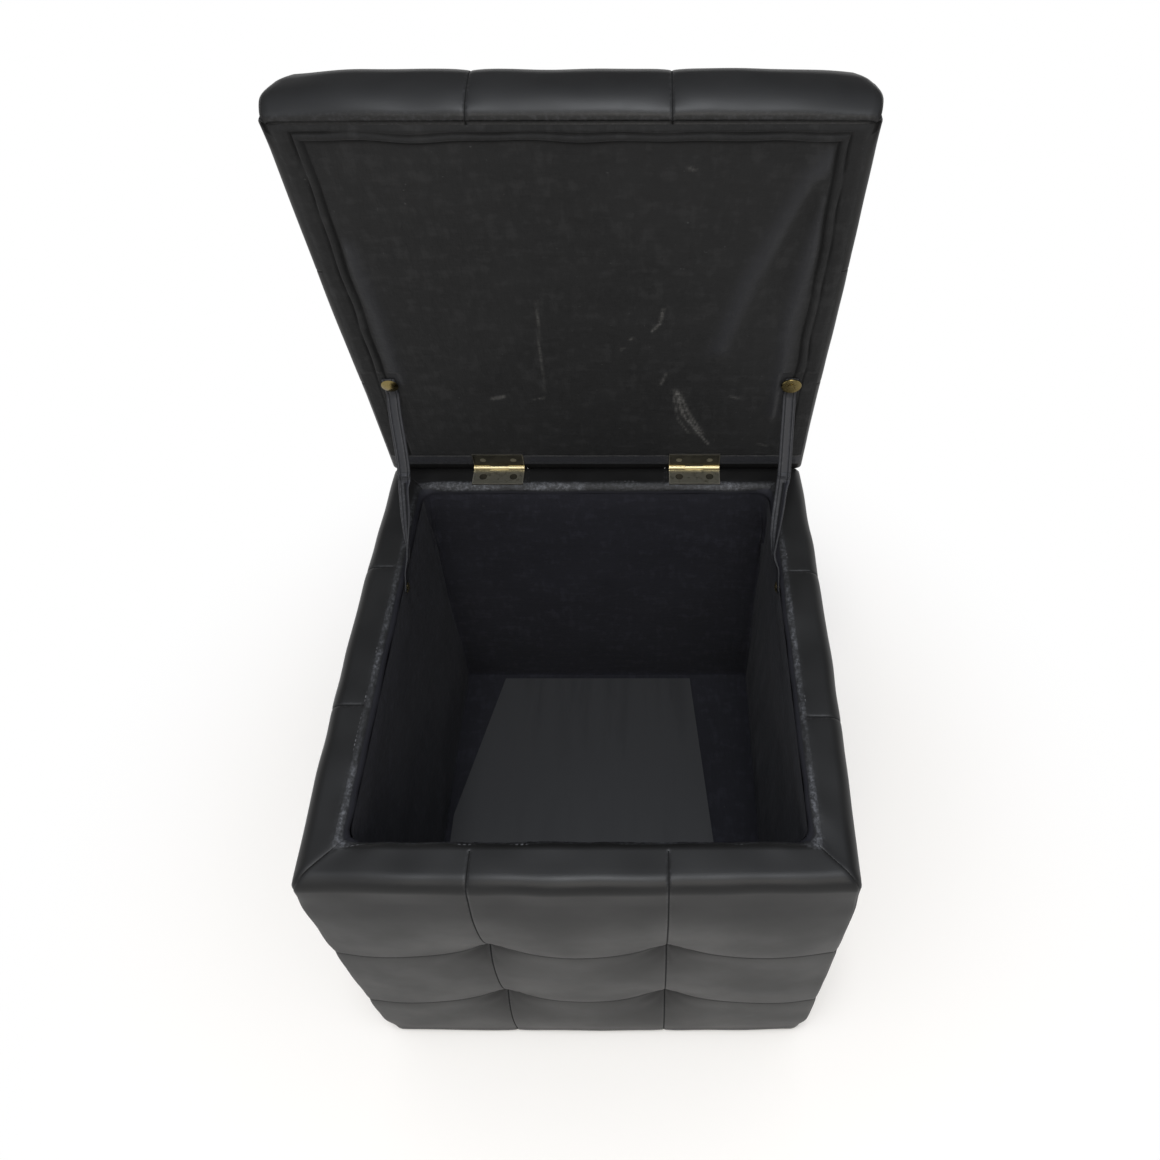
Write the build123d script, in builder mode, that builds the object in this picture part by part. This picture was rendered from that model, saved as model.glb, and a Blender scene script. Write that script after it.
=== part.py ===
"""Square storage ottoman: a padded box on a board carcass and a padded lid on two butt hinges.

Millimetres, +Z up. The origin is on the floor under the middle of the box, and the front faces -Y.
The lid is drawn open, where the two straps hold it.
"""

import os
from math import cos, radians, sin

from build123d import *

os.makedirs("parts", exist_ok=True)

# Overall sizes
WIDTH = 410.0
DEPTH = 410.0
RIM_TOP = 388.0
LID_THICK = 57.0
LID_OPEN = 82.0

# Cloth, boards and padding
COVER_T = 1.2
CLOTH_T = 1.0
PANEL_T = 16.0
SIDE_PAD = 14.8
RIM_PAD = 10.8
LIP_PAD = 1.8
TURN_DOWN = 20.0
FLANGE_WIDTH = 14.0
LID_FLANGE = 26.0

# Quilting: places of the front's seams and of the rows (the other sides' are thirds), depths below
# the crowns, and the padding left behind a tuft
FRONT_SEAM_LEFT = 79.0
FRONT_SEAM_RIGHT = 67.0
LOW_SEAM_Z = 92.0
HIGH_SEAM_Z = 232.0
SEAM_DEPTH = 5.0
TUFT_PAD = 2.3
CORNER_DRAW = 4.0
END_DRAW = 3.0

# Rounded edges of the wall
FOOT_ROUND = 8.0
FOOT_DRAW = 4.0
RIM_ROUND = 18.0
RIM_DRAW = 2.5
LIP_ROUND = 8.0
SHOULDER = 45.0
SWELL = 1.0

# Floor of the store
CLEAT = 20.0
BOTTOM_T = 12.0
FLOOR_BOARD_T = 3.0
FLOOR_BOARD_LEFT = 125.0
FLOOR_BOARD_RIGHT = 102.0
FLOOR_BOARD_FLARE = 33.0
FLOOR_BOARD_BEND_Y = -4.0
FLOOR_BOARD_GAP = 8.0

# Hinges
HINGE_AT = 97.0
HINGE_LENGTH = 50.0
LEAF_WIDTH = 20.5
LEAF_T = 1.4
KNUCKLE_R = 2.25
PIN_R = 1.2
MIDDLE_KNUCKLE = 18.0
PIN_FROM_BACK = 10.0
LEAF_SCREW_BACK = 11.5
LEAF_SCREW_SIDE = 15.0
HINGE_RELIEF = 0.4

# Screws, staples and tacks
LEAF_SCREW = (3.0, 1.7)
BOX_LEAF_SCREW_BITE = 8.6
LID_LEAF_SCREW_BITE = 9.0
PANEL_SCREW = (4.0, 2.0)
PANEL_SCREW_LENGTH = 45.0
PANEL_SCREW_MARGIN = 56.0
PANEL_SCREW_ROWS = 3
STAPLE_CROWN = 10.0
STAPLE_WIRE = 0.6
STAPLE_LEG = 8.0
STAPLES_PER_SIDE = 7
TACK_SHANK_R = 1.0
TACK_SHANK = 9.0
DOME_TACK_R = 7.6
FLAT_TACK_R = 9.0
BOX_TACK_R = 5.0
TACK_HEIGHT = 1.7
TACK_RING_R = 3.2
TACK_DISC = 1.2
TACK_BEVEL = 0.4

# Straps
STRAP_WIDTH = 12.0
STRAP_T = 1.6
STRAP_TAB = 9.0
STRAP_LEAVE = 12.0
STRAP_LAND = 24.0
STRAP_STEPS = 8
LID_TACK_SIDE = 26.0
LID_TACK_REACH = 127.0
BOX_TACK_REACH = 133.0
BOX_TACK_DROP = 14.0

# Lid
LID_BOARD_T = 12.0
LID_BOARD_INSET = 15.0
LID_FOOT_ROUND = 14.0
LID_EDGE_ROUND = 24.0
LID_CORNER_ROUND = 16.0
LID_EDGE_DRAW = 3.0

# Fits
RUN_FIT = 0.05
HOLD_FIT = 0.02
SCREW_FIT = 0.05
KNUCKLE_GAP = 0.2
CLEAR = 0.3
OVERSHOOT = 10.0

# Derived places
HALF_W = WIDTH / 2
HALF_D = DEPTH / 2
SOLE = CLOTH_T
PANEL_BOTTOM = SOLE + COVER_T
PANEL_TOP = RIM_TOP - COVER_T - RIM_PAD
PANEL_INSET = COVER_T + SIDE_PAD
INNER_INSET = PANEL_INSET + PANEL_T
RIM_WIDTH = INNER_INSET + LIP_PAD + COVER_T
TUFT_DEPTH = SIDE_PAD - TUFT_PAD
TURN_DOWN_Z = RIM_TOP - TURN_DOWN
WALL_REACH = max(RIM_WIDTH, PANEL_INSET + FLANGE_WIDTH) + OVERSHOOT
BOTTOM_Z = PANEL_BOTTOM + CLEAT
FLOOR_Z = BOTTOM_Z + BOTTOM_T + CLOTH_T
PIN_Y = HALF_D - PIN_FROM_BACK
PIN_Z = RIM_TOP + KNUCKLE_R
LID_BACK = PIN_FROM_BACK
LID_FRONT = LID_BACK - DEPTH
LID_MIDDLE = (LID_BACK + LID_FRONT) / 2
LID_LOW = KNUCKLE_R + CLOTH_T
LID_BOARD_Z = LID_LOW + COVER_T
LID_TOP = KNUCKLE_R + LID_THICK
DUST_INSET = FOOT_DRAW + FOOT_ROUND + END_DRAW
BOX_LEAF_SCREW_LENGTH = LEAF_T + COVER_T + RIM_PAD + BOX_LEAF_SCREW_BITE
LID_LEAF_SCREW_LENGTH = LEAF_T + CLOTH_T + COVER_T + LID_LEAF_SCREW_BITE

# Planes: one for each side with its own +Y outwards, one for the lid with its origin on the pins
SIDES = {
    "front": (Plane((0, 0, 0), x_dir=(-1, 0, 0), z_dir=(0, 0, 1)), HALF_W, HALF_D),
    "back": (Plane((0, 0, 0), x_dir=(1, 0, 0), z_dir=(0, 0, 1)), HALF_W, HALF_D),
    "left": (Plane((0, 0, 0), x_dir=(0, 1, 0), z_dir=(0, 0, 1)), HALF_D, HALF_W),
    "right": (Plane((0, 0, 0), x_dir=(0, -1, 0), z_dir=(0, 0, 1)), HALF_D, HALF_W),
}
SEAMS = {
    "front": (-FRONT_SEAM_RIGHT, FRONT_SEAM_LEFT),
    "back": (-WIDTH / 6, WIDTH / 6),
    "left": (-DEPTH / 6, DEPTH / 6),
    "right": (-DEPTH / 6, DEPTH / 6),
}
OPEN = radians(LID_OPEN)
LID = Plane((0, PIN_Y, PIN_Z), x_dir=(1, 0, 0), z_dir=(0, sin(OPEN), cos(OPEN)))
BOX_PIN = Plane((0, PIN_Y, PIN_Z), x_dir=(1, 0, 0), z_dir=(0, 0, 1))
HINGES = {"left": -HINGE_AT, "right": HINGE_AT}
HANDS = {"left": -1, "right": 1}


def finish(block, label):
    """Name a finished piece and write it out."""
    block.part.label = label
    export_step(block.part, f"parts/{label}.step")


def moved(plane, x, y, z):
    """The same plane with its origin at a local point."""
    return Plane(plane.from_local_coords((x, y, z)), x_dir=plane.x_dir, z_dir=plane.z_dir)


def facing(plane, x, y, z, normal):
    """A plane at a local point whose +Z is the given direction."""
    return Plane(plane.from_local_coords((x, y, z)), z_dir=normal)


def section(plane):
    """The plane across a side or hinge: its X is the side's Y, its Y is up, its Z runs along."""
    return Plane(plane.origin, x_dir=plane.y_dir, z_dir=plane.x_dir)


def quilt_face(plane, edges, heights, crown, floor):
    """Closed outline with one low arc over each quilted column."""
    with BuildSketch(plane) as outline:
        with BuildLine():
            for k in range(len(edges) - 1):
                middle = (edges[k] + edges[k + 1]) / 2
                ThreePointArc((edges[k], heights[k]), (middle, crown), (edges[k + 1], heights[k + 1]))
            Polyline((edges[-1], heights[-1]), (edges[-1], floor), (edges[0], floor), (edges[0], heights[0]))
        make_face()
    return outline.sketch


def quilt_rows(place, rows, edges, top, floor):
    """Section faces of each quilted row: end, crown, seam, crown, seam, crown, end."""
    last = len(rows) - 1
    stations = []
    for k in range(last):
        stations.append((rows[k], k == 0))
        stations.append(((rows[k] + rows[k + 1]) / 2, None))
    stations.append((rows[last], True))
    faces = []
    for at, is_end in stations:
        if is_end is None:
            drops = (CORNER_DRAW, SEAM_DEPTH, 0.0)
        elif is_end:
            drops = (CORNER_DRAW + END_DRAW, SEAM_DEPTH + END_DRAW, END_DRAW)
        else:
            drops = (CORNER_DRAW + SEAM_DEPTH, TUFT_DEPTH, SEAM_DEPTH)
        corner, seam, crown = (top - drop for drop in drops)
        faces.append(quilt_face(place(at), edges, (corner, seam, seam, corner), crown, floor))
    return [faces[2 * k:2 * k + 3] for k in range(last)]


def side_rows(plane, half_run, reach, seams, inset):
    """Quilted rows of one side of the box, drawn in by an inset."""
    edges = (-half_run, *seams, half_run)
    rows = (0.0, LOW_SEAM_Z, HIGH_SEAM_Z, RIM_TOP)
    floor = reach - WALL_REACH
    return quilt_rows(plane.offset, rows, edges, reach - inset, floor)


def wall_edge(reach, inset):
    """Outside of the wall from its sole up the padding and over the rim; returns its two ends."""
    low = SOLE + inset
    top = RIM_TOP - inset
    face = reach + SWELL - inset
    foot = reach - FOOT_DRAW - inset
    rim = reach - RIM_DRAW - inset
    inner = reach - RIM_WIDTH + inset
    foot_r = FOOT_ROUND - inset
    rim_r = RIM_ROUND - inset
    lip_r = LIP_ROUND - inset
    start = (foot - foot_r, low)
    end = (inner, TURN_DOWN_Z)
    TangentArc(start, (foot, low + foot_r), tangent=(1, 0))
    Polyline((foot, low + foot_r), (face, low + SHOULDER), (face, top - SHOULDER), (rim, top - rim_r))
    TangentArc((rim, top - rim_r), (rim - rim_r, top), tangent=(0, 1))
    Line((rim - rim_r, top), (inner + lip_r, top))
    TangentArc((inner + lip_r, top), (inner, top - lip_r), tangent=(-1, 0))
    Line((inner, top - lip_r), end)
    return start, end


def lid_rows(inset):
    """Quilted rows of the lid from front to back, drawn in by an inset."""
    edges = (-HALF_W, -WIDTH / 6, WIDTH / 6, HALF_W)
    rows = (LID_FRONT, LID_MIDDLE - DEPTH / 6, LID_MIDDLE + DEPTH / 6, LID_BACK)

    def place(at):
        return Plane(LID.from_local_coords((0, at, 0)), x_dir=LID.x_dir, z_dir=-LID.y_dir)

    return quilt_rows(place, rows, edges, LID_TOP - inset, LID_LOW + inset)


def cushion_edge(near, far, inset):
    """Closed outline across the lid: round lower edges, larger round upper edges, clear of the crowns."""
    near = near + inset
    far = far - inset
    low = LID_LOW + inset
    shoulder = LID_TOP - LID_EDGE_DRAW - inset
    ridge = LID_TOP + SWELL - inset
    foot_r = LID_FOOT_ROUND - inset
    edge_r = LID_EDGE_ROUND - inset
    TangentArc((far - foot_r, low), (far, low + foot_r), tangent=(1, 0))
    Line((far, low + foot_r), (far, shoulder - edge_r))
    TangentArc((far, shoulder - edge_r), (far - edge_r, shoulder), tangent=(0, 1))
    Polyline(
        (far - edge_r, shoulder),
        (far - SHOULDER, ridge),
        (near + SHOULDER, ridge),
        (near + edge_r, shoulder),
    )
    TangentArc((near + edge_r, shoulder), (near, shoulder - edge_r), tangent=(-1, 0))
    Line((near, shoulder - edge_r), (near, low + foot_r))
    TangentArc((near, low + foot_r), (near + foot_r, low), tangent=(0, -1))
    Line((near + foot_r, low), (far - foot_r, low))


def lid_body(inset):
    """The whole padded lid as one block, drawn in by an inset."""
    with BuildPart() as outline:
        with BuildSketch(section(LID)):
            with BuildLine():
                cushion_edge(LID_FRONT, LID_BACK, inset)
            make_face()
        extrude(amount=WIDTH, both=True)
        with BuildSketch(Plane(LID.origin, x_dir=LID.x_dir, z_dir=-LID.y_dir)):
            with BuildLine():
                cushion_edge(-HALF_W, HALF_W, inset)
            make_face()
        extrude(amount=2 * DEPTH, both=True, mode=Mode.INTERSECT)
        with BuildSketch(moved(LID, 0, LID_MIDDLE, 0)):
            RectangleRounded(WIDTH - 2 * inset, DEPTH - 2 * inset, LID_CORNER_ROUND - inset)
        extrude(amount=LID_TOP + OVERSHOOT, mode=Mode.INTERSECT)
    with BuildPart() as block:
        for row in lid_rows(inset):
            loft(row)
        add(outline.part, mode=Mode.INTERSECT)
    return block.part


def wood_screw(size, length, grow=0.0):
    """Countersunk screw pointing down, its head face at the origin; grow gives its bore."""
    head_r, shank_r = size
    with BuildPart() as screw:
        with BuildSketch(Plane.XZ):
            with BuildLine():
                Polyline(
                    (0, 0),
                    (head_r + grow, 0),
                    (shank_r + grow, -(head_r - shank_r)),
                    (shank_r + grow, -length + shank_r),
                    (0, -length - grow),
                    close=True,
                )
            make_face()
        revolve(axis=Axis.Z)
    return screw.part


def staple():
    """One staple with its crown at the origin and its legs pointing up."""
    with BuildPart() as wire:
        with BuildSketch(Plane.XZ):
            with BuildLine():
                half = STAPLE_CROWN / 2
                Polyline(
                    (-half, 0),
                    (half, 0),
                    (half, STAPLE_LEG),
                    (half - STAPLE_WIRE, STAPLE_LEG),
                    (half - STAPLE_WIRE, STAPLE_WIRE),
                    (-half + STAPLE_WIRE, STAPLE_WIRE),
                    (-half + STAPLE_WIRE, STAPLE_LEG),
                    (-half, STAPLE_LEG),
                    close=True,
                )
            make_face()
        extrude(amount=STAPLE_WIRE / 2, both=True)
    return wire.part


def tack(head_r, domed):
    """Tack with the underside of its head at the origin, head up and shank down."""
    with BuildPart() as nail:
        with BuildSketch(Plane.XZ):
            with BuildLine():
                if domed:
                    TangentArc((0, TACK_HEIGHT), (head_r, 0), tangent=(1, 0))
                else:
                    Polyline(
                        (head_r, 0),
                        (head_r, TACK_DISC - TACK_BEVEL),
                        (head_r - TACK_BEVEL, TACK_DISC),
                        (TACK_RING_R, TACK_DISC),
                        (TACK_RING_R, TACK_HEIGHT),
                        (0, TACK_HEIGHT),
                    )
                Polyline(
                    (0, TACK_HEIGHT),
                    (0, -TACK_SHANK),
                    (TACK_SHANK_R, -TACK_SHANK + 2 * TACK_SHANK_R),
                    (TACK_SHANK_R, 0),
                    (head_r, 0),
                )
            make_face()
        revolve(axis=Axis.Z)
    return nail.part


# Places of the small hardware
leaf_screw_xs = [at + side * LEAF_SCREW_SIDE for at in HINGES.values() for side in (-1, 1)]
box_leaf_places = [moved(BOX_PIN, x, -LEAF_SCREW_BACK, LEAF_T - KNUCKLE_R) for x in leaf_screw_xs]
lid_leaf_places = [facing(LID, x, -LEAF_SCREW_BACK, KNUCKLE_R - LEAF_T, -LID.z_dir) for x in leaf_screw_xs]
panel_screw_y = HALF_D - PANEL_INSET
panel_screw_x = HALF_W - PANEL_INSET - PANEL_T / 2
panel_screw_low = PANEL_BOTTOM + PANEL_SCREW_MARGIN
panel_screw_step = (PANEL_TOP - PANEL_SCREW_MARGIN - panel_screw_low) / (PANEL_SCREW_ROWS - 1)
panel_screw_zs = [panel_screw_low + k * panel_screw_step for k in range(PANEL_SCREW_ROWS)]
panel_screw_places = [
    Plane((side_x * panel_screw_x, side_y * panel_screw_y, z), z_dir=(0, side_y, 0))
    for side_x in (-1, 1)
    for side_y in (-1, 1)
    for z in panel_screw_zs
]
lid_tack_x = HALF_W - LID_TACK_SIDE
box_tack_x = HALF_W - RIM_WIDTH
box_tack_y = PIN_Y - BOX_TACK_REACH
box_tack_z = RIM_TOP - BOX_TACK_DROP
strap_wall_x = box_tack_x - CLEAR - STRAP_T / 2
box_tack_head_x = strap_wall_x - STRAP_T / 2 - CLEAR

box_leaf_bore = wood_screw(LEAF_SCREW, BOX_LEAF_SCREW_LENGTH, SCREW_FIT)
lid_leaf_bore = wood_screw(LEAF_SCREW, LID_LEAF_SCREW_LENGTH, SCREW_FIT)
panel_bore = wood_screw(PANEL_SCREW, PANEL_SCREW_LENGTH, SCREW_FIT)

# Carcass boards: front and back run across the ends of the side boards
for name, (plane, half_run, reach) in SIDES.items():
    ends = PANEL_INSET if name in ("front", "back") else INNER_INSET
    with BuildPart() as panel:
        with BuildSketch(moved(plane, 0, reach - PANEL_INSET - PANEL_T / 2, PANEL_BOTTOM)):
            Rectangle(2 * (half_run - ends), PANEL_T)
        extrude(amount=PANEL_TOP - PANEL_BOTTOM)
        with Locations(*panel_screw_places):
            add(panel_bore, mode=Mode.SUBTRACT)
        if name == "back":
            with Locations(*box_leaf_places):
                add(box_leaf_bore, mode=Mode.SUBTRACT)
    finish(panel, f"{name}_panel")

# Padding and sewn cover of each side, mitred at the corners
for name, (plane, half_run, reach) in SIDES.items():
    across = section(plane)
    panel_out = reach - PANEL_INSET
    panel_in = reach - INNER_INSET
    with BuildSketch(plane.offset(-OVERSHOOT)) as mitre:
        with BuildLine():
            Polyline(
                (-half_run - OVERSHOOT, reach + OVERSHOOT),
                (half_run + OVERSHOOT, reach + OVERSHOOT),
                (half_run - WALL_REACH, reach - WALL_REACH),
                (WALL_REACH - half_run, reach - WALL_REACH),
                close=True,
            )
        make_face()
    mitre_height = RIM_TOP + 2 * OVERSHOOT

    with BuildPart() as core:
        for row in side_rows(plane, half_run, reach, SEAMS[name], COVER_T):
            loft(row)
        with BuildSketch(across):
            with BuildLine():
                start, end = wall_edge(reach, COVER_T)
                Polyline(end, (end[0], start[1]), start)
            make_face()
        extrude(amount=half_run + OVERSHOOT, both=True, mode=Mode.INTERSECT)
        extrude(mitre.sketch, amount=mitre_height, mode=Mode.INTERSECT)

    with BuildPart() as cover:
        for row in side_rows(plane, half_run, reach, SEAMS[name], 0.0):
            loft(row)
        with BuildSketch(across):
            with BuildLine():
                start, end = wall_edge(reach, 0.0)
                flange_end = panel_out - FLANGE_WIDTH
                Polyline(
                    end,
                    (panel_out, TURN_DOWN_Z),
                    (panel_out, PANEL_BOTTOM),
                    (flange_end, PANEL_BOTTOM),
                    (flange_end, SOLE),
                    start,
                )
            make_face()
        extrude(amount=half_run + OVERSHOOT, both=True, mode=Mode.INTERSECT)
        extrude(mitre.sketch, amount=mitre_height, mode=Mode.INTERSECT)
        add(core.part, mode=Mode.SUBTRACT)
        if name == "back":
            with Locations(*box_leaf_places):
                add(box_leaf_bore, mode=Mode.SUBTRACT)
    finish(cover, f"{name}_cover")

    with BuildPart() as foam:
        add(core.part)
        with BuildSketch(across):
            with BuildLine():
                start, end = wall_edge(reach, COVER_T)
                Polyline(
                    end,
                    (panel_in, TURN_DOWN_Z),
                    (panel_in, PANEL_TOP),
                    (panel_out, PANEL_TOP),
                    (panel_out, PANEL_BOTTOM),
                    start,
                )
            make_face()
        extrude(amount=half_run + OVERSHOOT, both=True, mode=Mode.INTERSECT)
        if name == "back":
            with Locations(*box_leaf_places):
                add(box_leaf_bore, mode=Mode.SUBTRACT)
    finish(foam, f"{name}_foam")

# Floor of the store: battens, board, lining and the loose board on it
inner_w = WIDTH - 2 * INNER_INSET
inner_d = DEPTH - 2 * INNER_INSET
with BuildPart() as bottom_cleats:
    with BuildSketch(Plane.XY.offset(PANEL_BOTTOM)):
        with Locations((0, inner_d / 2 - CLEAT / 2), (0, CLEAT / 2 - inner_d / 2)):
            Rectangle(inner_w, CLEAT)
        with Locations((inner_w / 2 - CLEAT / 2, 0), (CLEAT / 2 - inner_w / 2, 0)):
            Rectangle(CLEAT, inner_d - 2 * CLEAT - 2 * CLEAR)
    extrude(amount=CLEAT)
finish(bottom_cleats, "bottom_cleats")

with BuildPart() as bottom_panel:
    with BuildSketch(Plane.XY.offset(BOTTOM_Z)):
        Rectangle(inner_w, inner_d)
    extrude(amount=BOTTOM_T)
finish(bottom_panel, "bottom_panel")

with BuildPart() as lining:
    with BuildSketch(Plane.XY.offset(FLOOR_Z - CLOTH_T)):
        Rectangle(inner_w, inner_d)
    extrude(amount=TURN_DOWN_Z - FLOOR_Z + CLOTH_T)
    with BuildSketch(Plane.XY.offset(FLOOR_Z)):
        Rectangle(inner_w - 2 * CLOTH_T, inner_d - 2 * CLOTH_T)
    extrude(amount=TURN_DOWN_Z, mode=Mode.SUBTRACT)
finish(lining, "lining")

with BuildPart() as floor_board:
    board_x = inner_w / 2 - FLOOR_BOARD_GAP
    board_y = inner_d / 2 - FLOOR_BOARD_GAP
    with BuildSketch(Plane.XY.offset(FLOOR_Z)):
        with BuildLine():
            Polyline(
                (-FLOOR_BOARD_LEFT, board_y),
                (FLOOR_BOARD_RIGHT, board_y),
                (FLOOR_BOARD_RIGHT + FLOOR_BOARD_FLARE, -board_y),
                (-board_x, -board_y),
                (-board_x, FLOOR_BOARD_BEND_Y),
                close=True,
            )
        make_face()
    extrude(amount=FLOOR_BOARD_T)
finish(floor_board, "floor_board")

with BuildPart() as dust_cover:
    with BuildSketch(Plane.XY):
        Rectangle(WIDTH - 2 * DUST_INSET, DEPTH - 2 * DUST_INSET)
    extrude(amount=CLOTH_T)
finish(dust_cover, "dust_cover")

# Lid: padded cover on a board, with a cloth underside
lid_core = lid_body(COVER_T)
lid_shell = lid_body(0.0)
lid_board_w = WIDTH - 2 * LID_BOARD_INSET
lid_board_d = DEPTH - 2 * LID_BOARD_INSET

with BuildPart() as lid_board:
    with BuildSketch(moved(LID, 0, LID_MIDDLE, LID_BOARD_Z)):
        Rectangle(lid_board_w, lid_board_d)
    extrude(amount=LID_BOARD_T)
    board_block = lid_board.part
    with Locations(*lid_leaf_places):
        add(lid_leaf_bore, mode=Mode.SUBTRACT)
finish(lid_board, "lid_board")

with BuildPart() as lid_foam:
    add(lid_core)
    add(board_block, mode=Mode.SUBTRACT)
finish(lid_foam, "lid_foam")

with BuildPart() as lid_cover:
    add(lid_shell)
    add(lid_core, mode=Mode.SUBTRACT)
    with BuildSketch(moved(LID, 0, LID_MIDDLE, LID_LOW - CLEAR)):
        Rectangle(lid_board_w - 2 * LID_FLANGE, lid_board_d - 2 * LID_FLANGE)
    extrude(amount=COVER_T + CLEAR, mode=Mode.SUBTRACT)
    with Locations(*lid_leaf_places):
        add(lid_leaf_bore, mode=Mode.SUBTRACT)
finish(lid_cover, "lid_cover")

with BuildPart() as lid_lining:
    with BuildSketch(moved(LID, 0, LID_MIDDLE, KNUCKLE_R)):
        Rectangle(lid_board_w, lid_board_d)
    extrude(amount=CLOTH_T)
    with Locations(*lid_leaf_places):
        add(lid_leaf_bore, mode=Mode.SUBTRACT)
finish(lid_lining, "lid_lining")

# Hinges: the lid leaf has the two end knuckles, the box leaf the middle one and the pin
middle = MIDDLE_KNUCKLE / 2
outer = HINGE_LENGTH / 2
KNUCKLES = {
    "lid": ((-outer, -middle - KNUCKLE_GAP), (middle + KNUCKLE_GAP, outer)),
    "box": ((-middle, middle),),
}
for hand, at in HINGES.items():
    for holder, base, sign, fit in (("box", BOX_PIN, -1, HOLD_FIT), ("lid", LID, 1, RUN_FIT)):
        pin_line = section(moved(base, at, 0, 0))
        leaf_mid = sign * (KNUCKLE_R - LEAF_T / 2)
        neck = KNUCKLE_R + HINGE_RELIEF
        with BuildPart() as leaf:
            with BuildSketch(pin_line):
                with Locations((-(LEAF_WIDTH + neck) / 2, leaf_mid)):
                    Rectangle(LEAF_WIDTH - neck, LEAF_T)
            extrude(amount=outer, both=True)
            for near, far in KNUCKLES[holder]:
                with BuildSketch(pin_line.offset(near)):
                    Circle(KNUCKLE_R)
                    with Locations((-neck / 2, leaf_mid)):
                        Rectangle(neck, LEAF_T)
                extrude(amount=far - near)
            with BuildSketch(pin_line):
                Circle(PIN_R + fit)
            extrude(amount=HINGE_LENGTH, both=True, mode=Mode.SUBTRACT)
            with Locations(*(box_leaf_places if holder == "box" else lid_leaf_places)):
                add(box_leaf_bore if holder == "box" else lid_leaf_bore, mode=Mode.SUBTRACT)
        finish(leaf, f"{hand}_hinge_{holder}_leaf")

    with BuildPart() as pin:
        with BuildSketch(section(moved(BOX_PIN, at, 0, 0))):
            Circle(PIN_R)
        extrude(amount=outer, both=True)
    finish(pin, f"{hand}_hinge_pin")

# Screws
box_leaf_screw = wood_screw(LEAF_SCREW, BOX_LEAF_SCREW_LENGTH)
with BuildPart() as box_leaf_screws:
    with Locations(*box_leaf_places):
        add(box_leaf_screw)
finish(box_leaf_screws, "box_leaf_screws")

lid_leaf_screw = wood_screw(LEAF_SCREW, LID_LEAF_SCREW_LENGTH)
with BuildPart() as lid_leaf_screws:
    with Locations(*lid_leaf_places):
        add(lid_leaf_screw)
finish(lid_leaf_screws, "lid_leaf_screws")

panel_screw = wood_screw(PANEL_SCREW, PANEL_SCREW_LENGTH)
with BuildPart() as panel_screws:
    with Locations(*panel_screw_places):
        add(panel_screw)
finish(panel_screws, "panel_screws")

# Staples, pressed into the turned-under leather
one_staple = staple()
steps = [(2 * k + 1) / STAPLES_PER_SIDE - 1 for k in range(STAPLES_PER_SIDE)]
cover_staple_places = [
    moved(plane, step * (half_run - INNER_INSET), reach - PANEL_INSET - PANEL_T / 2, SOLE)
    for plane, half_run, reach in SIDES.values()
    for step in steps
]
with BuildPart() as cover_staples:
    with Locations(*cover_staple_places):
        add(one_staple)
finish(cover_staples, "cover_staples")

lid_staple_x = lid_board_w / 2 - LID_FLANGE / 2
lid_staple_y = lid_board_d / 2 - LID_FLANGE / 2
LID_ACROSS = Plane(LID.origin, x_dir=LID.y_dir, z_dir=LID.z_dir)
lid_staple_places = [
    moved(LID, step * lid_staple_x, LID_MIDDLE + side * lid_staple_y, LID_LOW)
    for side in (-1, 1)
    for step in steps
] + [
    moved(LID_ACROSS, LID_MIDDLE + step * lid_staple_y, side * lid_staple_x, LID_LOW)
    for side in (-1, 1)
    for step in steps
]
with BuildPart() as lid_staples:
    with Locations(*lid_staple_places):
        add(one_staple)
finish(lid_staples, "lid_staples")

# Tacks: a dome on the left and a flat disc on the right of the lid, small domes on the walls
lid_tacks = {"left": tack(DOME_TACK_R, True), "right": tack(FLAT_TACK_R, False)}
for hand, sign in HANDS.items():
    with BuildPart() as lid_tack:
        with Locations(facing(LID, sign * lid_tack_x, -LID_TACK_REACH, KNUCKLE_R - STRAP_T, -LID.z_dir)):
            add(lid_tacks[hand])
    finish(lid_tack, f"{hand}_lid_tack")

wall_tack = tack(BOX_TACK_R, True)
with BuildPart() as box_tacks:
    with Locations(
        *(
            Plane((sign * box_tack_head_x, box_tack_y, box_tack_z), z_dir=(-sign, 0, 0))
            for sign in HANDS.values()
        )
    ):
        add(wall_tack)
finish(box_tacks, "box_tacks")

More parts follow.
